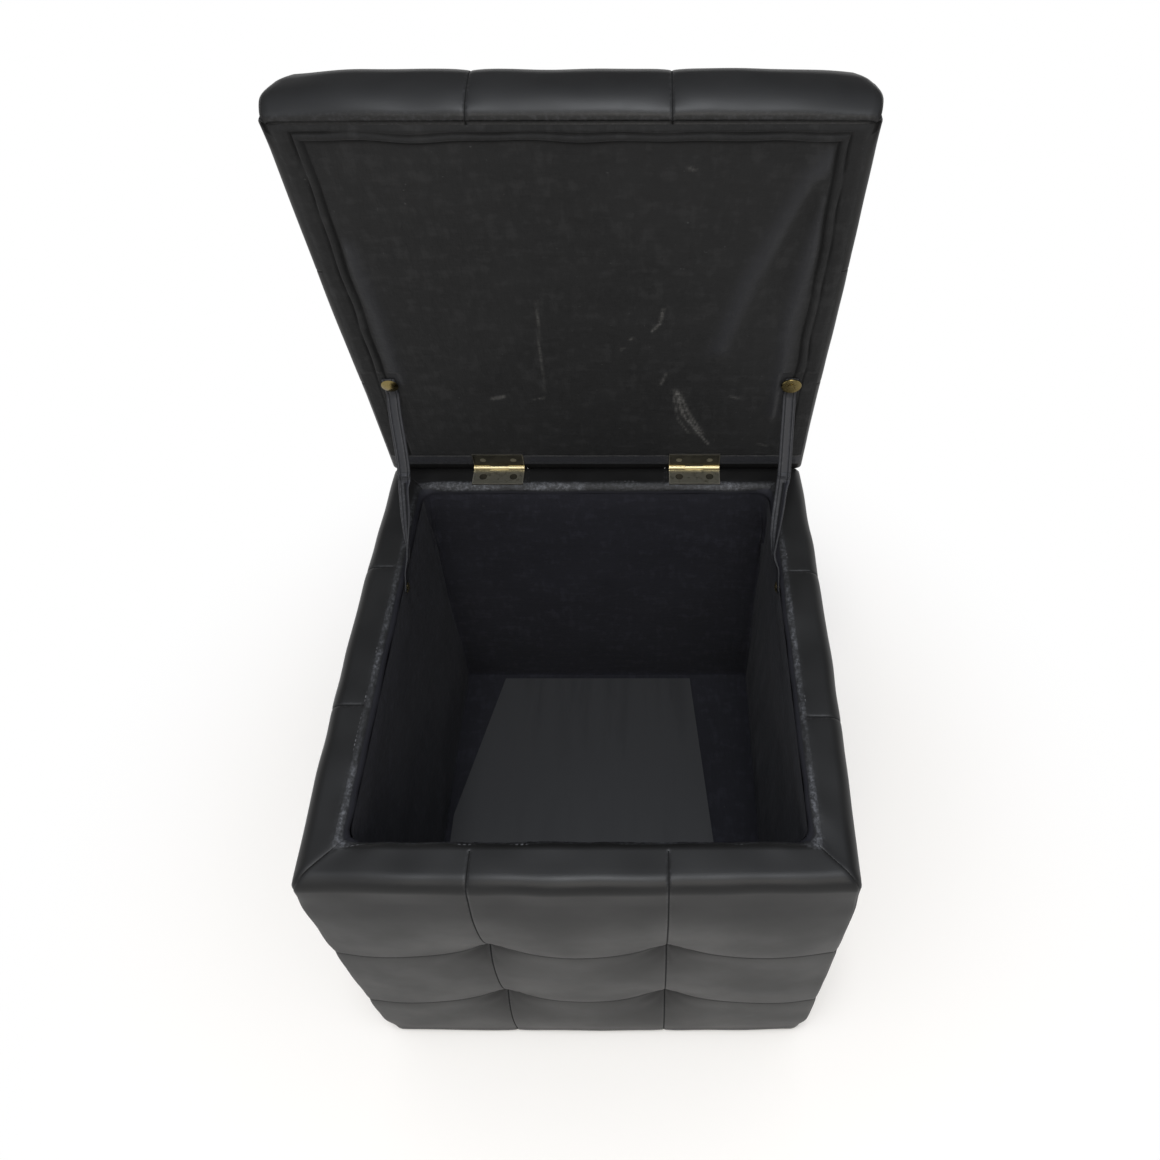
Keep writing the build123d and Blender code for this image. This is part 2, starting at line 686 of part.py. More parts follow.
# Straps: flat on the lid, turning a quarter on the way down to lie flat on the wall
for hand, sign in HANDS.items():
    top_at = LID.from_local_coords((sign * lid_tack_x, -LID_TACK_REACH, KNUCKLE_R - STRAP_T / 2))
    low_at = Vector(sign * strap_wall_x, box_tack_y, box_tack_z)
    fall = Vector(0, low_at.Y - top_at.Y, low_at.Z - top_at.Z).normalized()
    leave = top_at + LID.y_dir * STRAP_LEAVE
    land = low_at - fall * STRAP_LAND
    span = land - leave
    wall_side = Vector(0, fall.Z, -fall.Y)
    stations = [(top_at - LID.y_dir * STRAP_TAB, LID.y_dir, 0.0), (top_at, LID.y_dir, 0.0)]
    stations.append((leave, (LID.y_dir + span.normalized()).normalized(), 0.0))
    for k in range(1, STRAP_STEPS):
        share = k / STRAP_STEPS
        stations.append((leave + span * share, span.normalized(), radians(90 * share)))
    stations.append((land, fall, radians(90)))
    stations.append((low_at, fall, radians(90)))
    stations.append((low_at + fall * STRAP_TAB, fall, radians(90)))
    slices = []
    for point, along, turn in stations:
        across = (Vector(1, 0, 0) * cos(turn) + wall_side * sin(turn)).normalized()
        across = (across - along * across.dot(along)).normalized()
        with BuildSketch(Plane(point, x_dir=across, z_dir=along)) as slice_face:
            Rectangle(STRAP_WIDTH, STRAP_T)
        slices.append(slice_face.sketch)
    with BuildPart() as strap:
        loft(slices, ruled=True)
        with BuildSketch(facing(LID, sign * lid_tack_x, -LID_TACK_REACH, KNUCKLE_R, LID.z_dir)):
            Circle(TACK_SHANK_R + SCREW_FIT)
        extrude(amount=2 * STRAP_T, both=True, mode=Mode.SUBTRACT)
        with BuildSketch(Plane((low_at.X, low_at.Y, low_at.Z), z_dir=(1, 0, 0))):
            Circle(TACK_SHANK_R + CLEAR)
        extrude(amount=2 * STRAP_T, both=True, mode=Mode.SUBTRACT)
    finish(strap, f"{hand}_strap")
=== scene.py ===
from math import cos, pi, radians, sin

import bpy
import numpy as np
from mathutils import Matrix, Vector


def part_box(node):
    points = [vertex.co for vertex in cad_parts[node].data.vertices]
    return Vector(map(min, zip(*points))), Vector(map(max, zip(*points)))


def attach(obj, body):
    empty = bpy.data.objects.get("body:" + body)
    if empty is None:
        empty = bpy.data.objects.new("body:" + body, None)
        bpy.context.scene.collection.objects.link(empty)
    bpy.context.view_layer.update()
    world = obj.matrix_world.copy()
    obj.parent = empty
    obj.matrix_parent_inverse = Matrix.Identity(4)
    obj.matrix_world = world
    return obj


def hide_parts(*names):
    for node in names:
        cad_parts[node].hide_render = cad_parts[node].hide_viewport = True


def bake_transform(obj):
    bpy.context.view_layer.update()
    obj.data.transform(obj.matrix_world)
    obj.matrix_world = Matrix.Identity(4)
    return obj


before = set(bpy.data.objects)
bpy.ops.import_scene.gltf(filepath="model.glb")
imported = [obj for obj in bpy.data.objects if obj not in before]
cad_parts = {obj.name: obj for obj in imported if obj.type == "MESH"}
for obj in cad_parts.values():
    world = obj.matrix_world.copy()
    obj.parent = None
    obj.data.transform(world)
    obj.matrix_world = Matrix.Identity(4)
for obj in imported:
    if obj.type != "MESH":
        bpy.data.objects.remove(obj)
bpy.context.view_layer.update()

scene = bpy.context.scene

# Sizes in millimetres, the CAD model's where it has them; meshes are scaled to metres when they are made
MM, METRE = 0.001, 1000
HALF = 205.0  # half the width and the depth
RIM = 388.0  # top of the box
PIN = (195.0, 390.25)  # y and z of the hinge pins
OPEN = radians(82.0)  # how far the lid stands open at rest
LID_MIDDLE, LID_LOW, LID_TOP = -195.0, 3.25, 59.25  # y of its middle, z of its underside and top, from the pins
CORNER, CORE = 16.0, 125.0  # of the square plan: length of a corner, and how far from the middle nothing moves

# Seams: two rows round the box, where the photo has them on its fuller faces, and two columns on each side
SIDES = ("front", "right", "back", "left")
FRONT, RIGHT, BACK, LEFT = range(4)
THIRD = 2 * HALF / 6  # lines at minus and plus this cut a side in three
ROW_SEAMS = (110.0, 246.0)
SIDE_SEAMS = {"front": (-78.0, 66.0), "right": (-73.5, 69.5), "back": (-THIRD, THIRD), "left": (-74.5, 63.0)}
LID_SEAMS, LID_CROSS_SEAMS = (-70.0, 68.0), (-THIRD, THIRD)
SEAM_VALLEY, RIM_VALLEY = 7.0, 6.0  # reach of the valleys along the seams
GROOVE_DEPTH, GROOVE_WIDTH = 0.6, 0.8  # the sewn line itself
TUFT_HOLD = 6.0  # radius of the cloth held down at a tuft
FAR = 99.0  # a distance at which no seam or stitch shows

# Grids: usual step, step beside a seam, reach of a seam
BOX_GRID, LID_GRID = (4.6, 1.0, 5.0), (4.8, 1.0, 5.0)
HEM_GRID, WALL_GRID = (2.0, 0.7, 3.0), (6.0, 1.5, 12.0)

# Cloth simulation: step of its grid, frames, the most that a point may move, and Blender's settings
CLOTH_STEP, CLOTH_FRAMES, CLOTH_CAP = 9.0, 20, 3.0
CLOTH_SETTINGS = {
    "quality": 6, "mass": 0.35, "tension_stiffness": 25, "compression_stiffness": 25, "shear_stiffness": 12,
    "bending_stiffness": 6.0, "vertex_group_mass": "held", "use_pressure": True, "uniform_pressure_force": 3.0,
}


# Shapes

def smooth(low, high, x):
    """0 at low, 1 at high, smooth between; low may be the larger one."""
    t = np.clip((np.asarray(x, float) - low) / (high - low), 0, 1)
    return t * t * (3 - 2 * t)


def bell(away, width):
    return np.exp(-(away / width) ** 2)


def valley(away, width):
    """A valley's section, sharper at its bottom than a bell."""
    return np.exp(-(away / width) ** 1.3)


def quarter(up, radius):
    """A quarter round: 0 at its foot, 1 from its radius up."""
    return np.sqrt(1 - (1 - np.clip(up / radius, 0, 1)) ** 2)


def nearest(place, marks):
    """Distance to the nearest mark."""
    return np.min([abs(place - m) for m in marks], axis=0)


def lengths(x, y):
    """Length of a line up to each of its points."""
    return np.concatenate([[0], np.cumsum(np.hypot(np.diff(x), np.diff(y)))])


def waves(seed, x, y, size, count=10):
    """Gentle seeded unevenness, mostly between -1 and 1; size is the usual length of a wave."""
    rng = np.random.default_rng(seed)
    total = np.zeros(np.broadcast(x, y).shape)
    for _ in range(count):
        turn = rng.uniform(0, 2 * pi)
        pace = 2 * pi / (size * rng.uniform(0.7, 1.6))
        total += np.cos(pace * (x * cos(turn) + y * sin(turn)) + rng.uniform(0, 2 * pi))
    return total / np.sqrt(count)


def stations(low, high, seams, coarse, fine, reach):
    """Places from low to high, closer together beside each seam and with each seam among them."""
    marks = {low, high}
    for seam in seams:
        marks.update(np.clip((seam - reach, seam, seam + reach), low, high))
    marks = sorted(marks)
    out = []
    for start, end in zip(marks, marks[1:]):
        near = any(abs((start + end) / 2 - seam) < reach for seam in seams)
        count = max(1, round((end - start) / (fine if near else coarse)))
        out.extend(np.linspace(start, end, count, endpoint=False))
    return np.array(out + [marks[-1]])


def arc(centre, radius, start, end, count):
    """Points of an arc in a section; angles in degrees from the first axis."""
    turn = np.radians(np.linspace(start, end, count))
    return [(centre[0] + radius * cos(a), centre[1] + radius * sin(a)) for a in turn]


def plan(x, y, half, corner):
    """Points of the square plan moved onto a rounded square; the middle of each side keeps its place."""
    inner = HALF - CORNER

    def along(v):
        size = abs(v)
        far = CORE + (size - CORE) * (half - corner - CORE) / (inner - CORE)
        return np.sign(v) * np.where(size <= CORE, size, far)

    over_x = np.clip((abs(x) - inner) / CORNER, 0, 1)
    over_y = np.clip((abs(y) - inner) / CORNER, 0, 1)
    out = corner * np.maximum(over_x, over_y)
    turn = np.arctan2(over_y, over_x)
    mapped_x = along(np.clip(x, -inner, inner)) + np.sign(x) * out * np.cos(turn)
    mapped_y = along(np.clip(y, -inner, inner)) + np.sign(y) * out * np.sin(turn)
    return mapped_x, mapped_y


def loop(lines):
    """The square plan's outline, counter-clockwise from the front left: x, y, side number, place along."""
    parts = []
    for k, name in enumerate(SIDES):
        s = lines[name][:-1]
        edge = np.full_like(s, HALF)
        x, y = ((s, -edge), (edge, s), (-s, edge), (-edge, -s))[k]
        parts.append(np.stack([x, y, np.full_like(s, k), s]))
    return np.concatenate(parts, axis=1)


def ring_quads(rows, columns, inward=False):
    """Faces of a closed ring of rows."""
    r, c = np.meshgrid(np.arange(rows - 1), np.arange(columns), indexing="ij")
    here, after = r * columns + c, r * columns + (c + 1) % columns
    quads = np.stack([here, after, after + columns, here + columns], -1).reshape(-1, 4)
    return quads[:, ::-1] if inward else quads


def grid_quads(rows, columns):
    """Faces of a grid, first index along y."""
    r, c = np.meshgrid(np.arange(rows - 1), np.arange(columns - 1), indexing="ij")
    here = r * columns + c
    return np.stack([here, here + 1, here + columns + 1, here + columns], -1).reshape(-1, 4)


def grid_rim(rows, columns):
    """A grid's outline in the order of loop()."""
    front = list(range(columns - 1))
    right = [r * columns + columns - 1 for r in range(rows - 1)]
    back = [(rows - 1) * columns + c for c in range(columns - 1, 0, -1)]
    left = [r * columns for r in range(rows - 1, 0, -1)]
    return np.array(front + right + back + left)


def tray(cap, ring, cap_at):
    """A ring of rows closed by a grid at its last row (cap_at -1) or its first (0): points, faces, ring's numbers."""
    cap_rows, cap_columns = cap.shape[:2]
    rows, columns = ring.shape[:2]
    points = [cap.reshape(-1, 3)]
    number = np.empty((rows, columns), int)
    number[cap_at] = grid_rim(cap_rows, cap_columns)
    free = [r for r in range(rows) if r != cap_at % rows]
    for k, r in enumerate(free):
        number[r] = len(points[0]) + k * columns + np.arange(columns)
        points.append(ring[r])
    quads = number.reshape(-1)[ring_quads(rows, columns, inward=cap_at == 0)]
    return np.concatenate(points), np.concatenate([grid_quads(cap_rows, cap_columns), quads]), number


def normals(points, quads):
    """Vertex normals of a quad mesh, in the shape of its points."""
    flat = points.reshape(-1, 3)
    p = flat[quads]
    face = np.cross(p[:, 2] - p[:, 0], p[:, 3] - p[:, 1])
    out = np.zeros_like(flat)
    for k in range(4):
        np.add.at(out, quads[:, k], face)
    out = out / np.maximum(np.linalg.norm(out, axis=1, keepdims=True), 1e-12)
    return out.reshape(points.shape)


def mesh_object(name, points, quads, material, **attributes):
    """A smooth mesh in metres with a float attribute for each named array; one left out counts as 0."""
    mesh = bpy.data.meshes.new(name)
    mesh.from_pydata((points.reshape(-1, 3) * MM).tolist(), [], [list(q) for q in quads])
    mesh.polygons.foreach_set("use_smooth", np.ones(len(mesh.polygons), bool))
    for key, values in attributes.items():
        layer = mesh.attributes.new(key, "FLOAT", "POINT")
        layer.data.foreach_set("value", np.ascontiguousarray(values, np.float32).reshape(-1))
    mesh.materials.append(material)
    mesh.validate()
    obj = bpy.data.objects.new(name, mesh)
    scene.collection.objects.link(obj)
    return obj


def to_lid(points):
    """Lid coordinates, with the pins as origin, to the frame's."""
    x, y, z = points[..., 0], points[..., 1], points[..., 2]
    back = PIN[0] + y * cos(OPEN) + z * sin(OPEN)
    up = PIN[1] - y * sin(OPEN) + z * cos(OPEN)
    return np.stack([x, back, up], -1)


def quilt(s, z, columns, rows, deep, seed):
    """Depth of a tufted face: shallow valleys along the seams, deep dimples with small folds where they cross."""
    dimple, folds = 0.0, 0.0
    for c in columns:
        for r in rows:
            away, turn = np.hypot(s - c, z - r), np.arctan2(z - r, s - c)
            dimple = dimple + np.exp(-(away / 25) ** 1.15)
            fold = np.cos(9 * turn + seed + c) + 0.6 * np.cos(5 * turn + 2 * seed + r)
            folds = folds + 0.22 * fold * bell(away - 15, 13) * smooth(2, 12, away)
    row_valley = valley(nearest(z, rows), SEAM_VALLEY)
    column_valley = valley(nearest(s, columns), SEAM_VALLEY)
    sunk = (0.7 + 2.4 * dimple) * np.maximum(row_valley, 0.8 * column_valley)
    return deep * dimple + sunk + folds + 0.25 * waves(seed, s, z, 80)


# Blowing up by cloth simulation

def spline_matrix(knots, places, breaks):
    """Matrix of natural cubic splines through the knots, with a crease at each break."""
    slack = 1e-6
    out = np.zeros((len(places), len(knots)))
    for low, high in zip(breaks, breaks[1:]):
        own = np.flatnonzero((knots >= low - slack) & (knots <= high + slack))
        here = np.flatnonzero((places >= low - slack) & (places <= high + slack))
        t, n = knots[own], len(own)
        gap = np.diff(t)
        solve, right = np.eye(n), np.zeros((n, n))
        for k in range(1, n - 1):
            solve[k, k - 1:k + 2] = gap[k - 1], 2 * (gap[k - 1] + gap[k]), gap[k]
            right[k, k - 1:k + 2] = 6 / gap[k - 1], -6 / gap[k - 1] - 6 / gap[k], 6 / gap[k]
        bend = np.linalg.solve(solve, right)
        at = np.clip(np.searchsorted(t, places[here]) - 1, 0, n - 2)
        b = (places[here] - t[at]) / gap[at]
        a = 1 - b
        rows = np.zeros((len(here), n))
        rows[np.arange(len(here)), at] += a
        rows[np.arange(len(here)), at + 1] += b
        size = (gap[at] ** 2 / 6)[:, None]
        rows += size * ((a ** 3 - a)[:, None] * bend[at] + (b ** 3 - b)[:, None] * bend[at + 1])
        out[here[:, None], own] = rows
    return out


def pick(places, marks, step):
    """Numbers of places at least a step apart, with every mark among them."""
    forced = {int(np.argmin(abs(places - m))) for m in marks}
    kept = []
    for k, place in enumerate(places):
        room = min((abs(place - places[f]) for f in forced if f != k), default=step)
        if k in forced or (room > 0.6 * step and (not kept or place - places[kept[-1]] >= step)):
            kept.append(k)
    return np.array(kept)


def settle(start, quads, pinned):
    """Where Blender's cloth takes a mesh under pressure, in millimetres."""
    mesh = bpy.data.meshes.new("blown")
    mesh.from_pydata((start * MM).tolist(), [], quads.tolist())
    obj = bpy.data.objects.new("blown", mesh)
    scene.collection.objects.link(obj)
    obj.vertex_groups.new(name="held").add(pinned.tolist(), 1.0, "REPLACE")
    modifier = obj.modifiers.new("cloth", "CLOTH")
    modifier.point_cache.frame_start, modifier.point_cache.frame_end = 1, CLOTH_FRAMES
    for key, value in CLOTH_SETTINGS.items():
        setattr(modifier.settings, key, value)
    modifier.settings.effector_weights.gravity = 0
    for number in range(1, CLOTH_FRAMES + 1):
        scene.frame_set(number)
    shown = obj.evaluated_get(bpy.context.evaluated_depsgraph_get())
    end = np.empty(len(start) * 3)
    shown.data.vertices.foreach_get("co", end)
    bpy.data.objects.remove(obj)
    bpy.data.meshes.remove(mesh)
    scene.frame_set(1)
    return end.reshape(-1, 3) * METRE


def inflate(points, u, v, u_marks, v_marks, u_breaks, v_breaks, held, closed):
    """Shift of a grid or closed ring blown up between its held points: simulated on a coarser grid that has the
    marks, and carried over by splines with a crease at each break."""
    across, up = pick(u, u_marks, CLOTH_STEP), pick(v, v_marks, CLOTH_STEP)
    if closed:
        across = across[across < points.shape[1]]
    start = points[np.ix_(up, across)].reshape(-1, 3)
    pinned = np.flatnonzero(held[np.ix_(up, across)].reshape(-1))
    quads = (ring_quads if closed else grid_quads)(len(up), len(across))
    shift = settle(start, quads, pinned) - start
    size = np.linalg.norm(shift, axis=1, keepdims=True)
    shift *= CLOTH_CAP * np.tanh(size / CLOTH_CAP) / np.maximum(size, 1e-9)
    shift = shift.reshape(len(up), len(across), 3)
    knots = u[across]
    if closed:
        shift = np.concatenate([shift, shift[:, :1]], axis=1)
        knots = np.append(knots, u[-1])
    by_u = spline_matrix(knots, u, u_breaks)
    by_v = spline_matrix(v[up], v, v_breaks)
    out = np.einsum("ij,jkc,lk->ilc", by_v, shift, by_u)
    return out[:, :-1] if closed else out


# Shader nodes

def shader_tree(name):
    """A new material, its node tree and its shader."""
    material = bpy.data.materials.new(name)
    material.use_nodes = True
    tree = material.node_tree
    return material, tree, tree.nodes["Principled BSDF"]


def put(tree, socket, value):
    """Links a socket to another node's output, or sets it to a value."""
    if isinstance(value, bpy.types.NodeSocket):
        tree.links.new(value, socket)
    else:
        socket.default_value = value


def node(tree, kind, values=(), out=0, **settings):
    """A node with its inputs set from numbers or from other nodes' outputs; returns one output."""
    made = tree.nodes.new("ShaderNode" + kind)
    for key, value in settings.items():
        setattr(made, key, value)
    for key, value in dict(values).items():
        put(tree, made.inputs[key], value)
    return made.outputs[out]


def calc(tree, operation, a, b=0.0):
    return node(tree, "Math", {0: a, 1: b}, operation=operation)


def times(tree, a, b):
    return calc(tree, "MULTIPLY", a, b)


def plus(tree, a, b):
    return calc(tree, "ADD", a, b)


def distance(tree, a, b):
    return node(tree, "VectorMath", {0: a, 1: b}, out=1, operation="DISTANCE")


def ramp(tree, value, low, high, to_low=0.0, to_high=1.0):
    """A value from low to high turned smoothly into another range."""
    names = {"Value": value, "From Min": low, "From Max": high, "To Min": to_low, "To Max": to_high}
    return node(tree, "MapRange", names, interpolation_type="SMOOTHSTEP")


def mixed(tree, share, a, b):
    """Two colours mixed."""
    a, b = (c if isinstance(c, bpy.types.NodeSocket) else (*c, 1.0) for c in (a, b))
    return node(tree, "Mix", {0: share, 6: a, 7: b}, out=2, data_type="RGBA")


def local(tree):
    return node(tree, "TexCoord", out=3)


def stretched(tree, scale):
    """Object coordinates stretched by a scale for each axis."""
    return node(tree, "Mapping", {"Vector": local(tree), "Scale": scale})


def noise(tree, vector, scale, detail=3.0, rough=0.55):
    names = {"Vector": vector, "Scale": scale, "Detail": detail, "Roughness": rough}
    return node(tree, "TexNoise", names)


def bump(tree, height, distance, strength, normal=None):
    names = {"Height": height, "Distance": distance, "Strength": strength}
    if normal is not None:
        names["Normal"] = normal
    return node(tree, "Bump", names)


def field(tree, name):
    return node(tree, "Attribute", out=2, attribute_name=name)


# Materials

WORN_SEAM, SEWN_LINE_AND_CREASE_SHADE, THREAD = (0.07, 0.07, 0.075), (0.003, 0.003, 0.003), (0.13, 0.13, 0.135)
CRACKLED_LIP_AND_FACET_LIGHT, FALL_TINT_AND_SLIT_SHADE = (0.115, 0.118, 0.128), (0.0145, 0.0145, 0.0190)
LINT, SCUFF_AND_SHEEN_PALE, FOLD_SHADE = (0.12, 0.12, 0.12), (0.17, 0.165, 0.155), (0.002, 0.002, 0.002)
STRIP_TONE_AND_FOLD_HIGHLIGHT, HOLE_DIRT_AND_SHADE = (0.026, 0.0265, 0.030), (0.012, 0.011, 0.009)
STITCH_LENGTH = 3.8


def leather(name, dark, pale, rough):
    """Black imitation leather: fine grain, dark sewn lines, pale stitches and a paler crackled lip.

    A mesh's attributes: distance to a seam and a stitch, place along the stitches (run), shares of the lip, the fall
    inside (inner) and the rougher faces (matte). The seam's dark line is also painted shade in creases and folds, the
    lip's pale colour is also painted light on a strap's broad lower facet, and the inner tint is also painted shade
    in a strap's folded slit."""
    material, tree, shader = shader_tree(name)
    place = local(tree)
    patches = noise(tree, place, 14.0, 4.0)
    grain = node(tree, "TexVoronoi", {"Vector": place, "Scale": 1050.0})
    fine = noise(tree, place, 2600.0, 2.0)
    ruche = noise(tree, place, 340.0, 5.0, 0.7)
    seam, lip, inner = field(tree, "seam"), field(tree, "lip"), field(tree, "inner")
    line = ramp(tree, seam, 0.25, 0.8, 1.0, 0.0)
    worn = times(tree, ramp(tree, seam, 1.0, 3.2, 1.0, 0.0), ramp(tree, ruche, 0.45, 0.7))
    colour = mixed(tree, ramp(tree, patches, 0.3, 0.7), dark, pale)
    colour = mixed(tree, times(tree, worn, 0.25), colour, WORN_SEAM)
    pale_lip = times(tree, lip, ramp(tree, ruche, 0.42, 0.68, 0.15, 0.85))
    patchy = ramp(tree, noise(tree, place, 24.0), 0.36, 0.62, 0.3, 1.0)
    colour = mixed(tree, times(tree, pale_lip, patchy), colour, CRACKLED_LIP_AND_FACET_LIGHT)
    colour = mixed(tree, inner, colour, FALL_TINT_AND_SLIT_SHADE)
    colour = mixed(tree, times(tree, line, 0.85), colour, SEWN_LINE_AND_CREASE_SHADE)
    step = calc(tree, "FRACT", calc(tree, "DIVIDE", field(tree, "run"), STITCH_LENGTH))
    dash = ramp(tree, step, 0.45, 0.6, 1.0, 0.0)
    thread = times(tree, dash, ramp(tree, field(tree, "stitch"), 0.35, 0.75, 1.0, 0.0))
    thread = times(tree, thread, ramp(tree, noise(tree, place, 32.0, 4.0), 0.58, 0.72))
    colour = mixed(tree, thread, colour, THREAD)
    put(tree, shader.inputs["Base Color"], colour)
    gloss = ramp(tree, patches, 0.25, 0.75, rough - 0.05, rough + 0.06)
    dulled = calc(tree, "MAXIMUM", lip, times(tree, inner, 2.5))
    gloss = plus(tree, gloss, times(tree, dulled, 0.12))
    gloss = plus(tree, gloss, times(tree, field(tree, "matte"), 0.08))
    put(tree, shader.inputs["Roughness"], plus(tree, gloss, times(tree, line, 0.5)))
    pores = plus(tree, times(tree, grain, 0.7), times(tree, fine, 0.35))
    raised = plus(tree, times(tree, lip, ruche), times(tree, thread, 0.6))
    put(tree, shader.inputs["Normal"], bump(tree, raised, 0.0006, 0.7, bump(tree, pores, 0.00008, 0.35)))
    shader.inputs["Specular IOR Level"].default_value = 0.27
    return material


def cloth(name, dark, pale, rough, thread):
    """Dark felted cloth: fibres in two directions, wrinkles, lint, a mesh's scuffs, creases and smoother strip.
    Painted highlights lighten the wrinkles, part of the scuffs and the strip's folds; painted shade darkens the
    creases.
    """
    material, tree, shader = shader_tree(name)
    place = local(tree)
    fibre = noise(tree, stretched(tree, (1.0, 0.25, 0.25)), thread, 5.0, 0.7)
    cross = noise(tree, stretched(tree, (0.25, 1.0, 1.0)), thread * 0.8, 5.0, 0.7)
    felt = times(tree, plus(tree, fibre, cross), 0.5)
    cloud = noise(tree, place, 11.0, 5.0, 0.6)
    long_wrinkle = noise(tree, stretched(tree, (1.0, 0.35, 0.35)), 150.0)
    cross_wrinkle = noise(tree, stretched(tree, (0.35, 1.0, 1.0)), 120.0)
    wrinkle = plus(tree, long_wrinkle, cross_wrinkle)
    scuff, crease, strip = field(tree, "scuff"), field(tree, "crease"), field(tree, "strip")
    colour = mixed(tree, ramp(tree, felt, 0.30, 0.74), dark, pale)
    colour = mixed(tree, ramp(tree, cloud, 0.35, 0.72, 0.0, 0.6), colour, pale)
    # Paler along the wrinkles: a painted highlight on their ridges
    colour = mixed(tree, ramp(tree, wrinkle, 0.98, 1.30, 0.0, 0.55), colour, tuple(1.5 * c for c in pale))
    lint = ramp(tree, noise(tree, place, 240.0, 2.0), 0.72, 0.80)
    colour = mixed(tree, times(tree, lint, 0.25), colour, LINT)
    colour = mixed(tree, times(tree, scuff, ramp(tree, felt, 0.35, 0.62)), colour, SCUFF_AND_SHEEN_PALE)
    colour = mixed(tree, times(tree, strip, calc(tree, "SUBTRACT", 1.0, scuff)), colour, STRIP_TONE_AND_FOLD_HIGHLIGHT)
    colour = mixed(tree, times(tree, crease, 0.9), colour, FOLD_SHADE)
    put(tree, shader.inputs["Base Color"], colour)
    gloss = ramp(tree, felt, 0.3, 0.7, rough - 0.06, rough + 0.06)
    put(tree, shader.inputs["Roughness"], calc(tree, "SUBTRACT", gloss, times(tree, strip, 0.3)))
    shader.inputs["Specular IOR Level"].default_value = 0.2
    shader.inputs["Sheen Weight"].default_value = 0.04
    shader.inputs["Sheen Roughness"].default_value = 0.5
    put(tree, shader.inputs["Normal"], bump(tree, felt, 0.0005, 0.5, bump(tree, wrinkle, 0.0014, 0.45)))
    return material


def metal(name, bright, dull, rough, tarnish, holes=(), knuckle=None, edges=(), worn=None):
    """Plated metal: dull film, scratches, blotches, dirt and painted shade round screw holes, rubbed edges, and
    knuckles made brighter by polish and a painted highlight.
    """
    material, tree, shader = shader_tree(name)
    place = local(tree)
    blotch = noise(tree, place, 160.0, 5.0, 0.65)
    scratch = noise(tree, stretched(tree, (0.2, 1.0, 1.0)), 1500.0, 3.0, 0.6)
    colour = mixed(tree, ramp(tree, blotch, 0.5 - tarnish, 0.75 - tarnish), bright, dull)
    # Dark rings round the screws: dirt, and painted shade of the gap round each head
    for centre in holes:
        away = distance(tree, place, centre)
        ring = times(tree, ramp(tree, away, 0.0028, 0.0030), ramp(tree, away, 0.0034, 0.0040, 1.0, 0.0))
        colour = mixed(tree, times(tree, ring, 0.85), colour, HOLE_DIRT_AND_SHADE)
    for axis, edge in edges:
        side = calc(tree, "ABSOLUTE", node(tree, "SeparateXYZ", {0: place}, out=axis))
        away = calc(tree, "ABSOLUTE", calc(tree, "SUBTRACT", side, edge))
        colour = mixed(tree, ramp(tree, away, 0.0003, 0.0011, 0.8, 0.0), colour, worn)
    # Bright brass along the knuckle: polish, and a painted highlight
    if knuckle:
        section = node(tree, "VectorMath", {0: place, 1: (0, 1, 1)}, operation="MULTIPLY")
        away = distance(tree, section, (0, PIN[0] * MM, PIN[1] * MM))
        colour = mixed(tree, ramp(tree, away, 0.0023, 0.0029, 1.0, 0.0), colour, knuckle)
    put(tree, shader.inputs["Base Color"], colour)
    gloss = plus(tree, times(tree, blotch, 0.25), times(tree, scratch, 0.12))
    put(tree, shader.inputs["Roughness"], plus(tree, gloss, rough - 0.18))
    shader.inputs["Metallic"].default_value = 1.0
    put(tree, shader.inputs["Normal"], bump(tree, plus(tree, scratch, blotch), 0.00005, 0.4))
    return material


def board(name, dark, pale, rough, scale):
    """Plain board: soft fibre mottle along one direction, a satin face."""
    material, tree, shader = shader_tree(name)
    fibre = noise(tree, stretched(tree, (1.0, 0.12, 1.0)), scale, 5.0, 0.6)
    speck = noise(tree, local(tree), 900.0, 2.0)
    colour = mixed(tree, ramp(tree, fibre, 0.3, 0.7), dark, pale)
    colour = mixed(tree, ramp(tree, speck, 0.55, 0.8, 0.0, 0.3), colour, dark)
    put(tree, shader.inputs["Base Color"], colour)
    put(tree, shader.inputs["Roughness"], ramp(tree, fibre, 0.3, 0.7, rough - 0.06, rough + 0.06))
    put(tree, shader.inputs["Normal"], bump(tree, plus(tree, fibre, speck), 0.0001, 0.35))
    return material


LEATHER = leather("leather", (0.0066, 0.0064, 0.0062), (0.0090, 0.0088, 0.0085), 0.43)
STRAP = leather("strap_leather", (0.014, 0.0143, 0.0165), (0.020, 0.0204, 0.023), 0.46)
CLOTH = cloth("lid_cloth", (0.0075, 0.0075, 0.0076), (0.0155, 0.0155, 0.0156), 0.80, 520.0)
LINING = cloth("lining_cloth", (0.0085, 0.0085, 0.0120), (0.018, 0.018, 0.0245), 0.85, 700.0)
DUST = cloth("dust_cloth", (0.010, 0.010, 0.010), (0.022, 0.022, 0.022), 0.9, 600.0)
FLOOR_BOARD = board("floor_board", (0.0095, 0.0095, 0.0105), (0.0115, 0.0115, 0.0126), 0.55, 60.0)
WOOD = board("carcass_board", (0.42, 0.30, 0.18), (0.55, 0.41, 0.26), 0.65, 90.0)

SCREW_X = (-0.112, -0.082, 0.082, 0.112)
BOX_SCREWS = [(x, 0.1835, 0.3890) for x in SCREW_X]
LID_SCREWS = [(x, 0.1942, 0.4018) for x in SCREW_X]
KNUCKLE_POLISH_AND_HIGHLIGHT = (0.60, 0.51, 0.30)
leaf_low, leaf_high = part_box("right_hinge_lid_leaf")
LID_EDGES = ((0, leaf_low[0]), (0, leaf_high[0]), (2, leaf_high[2]))
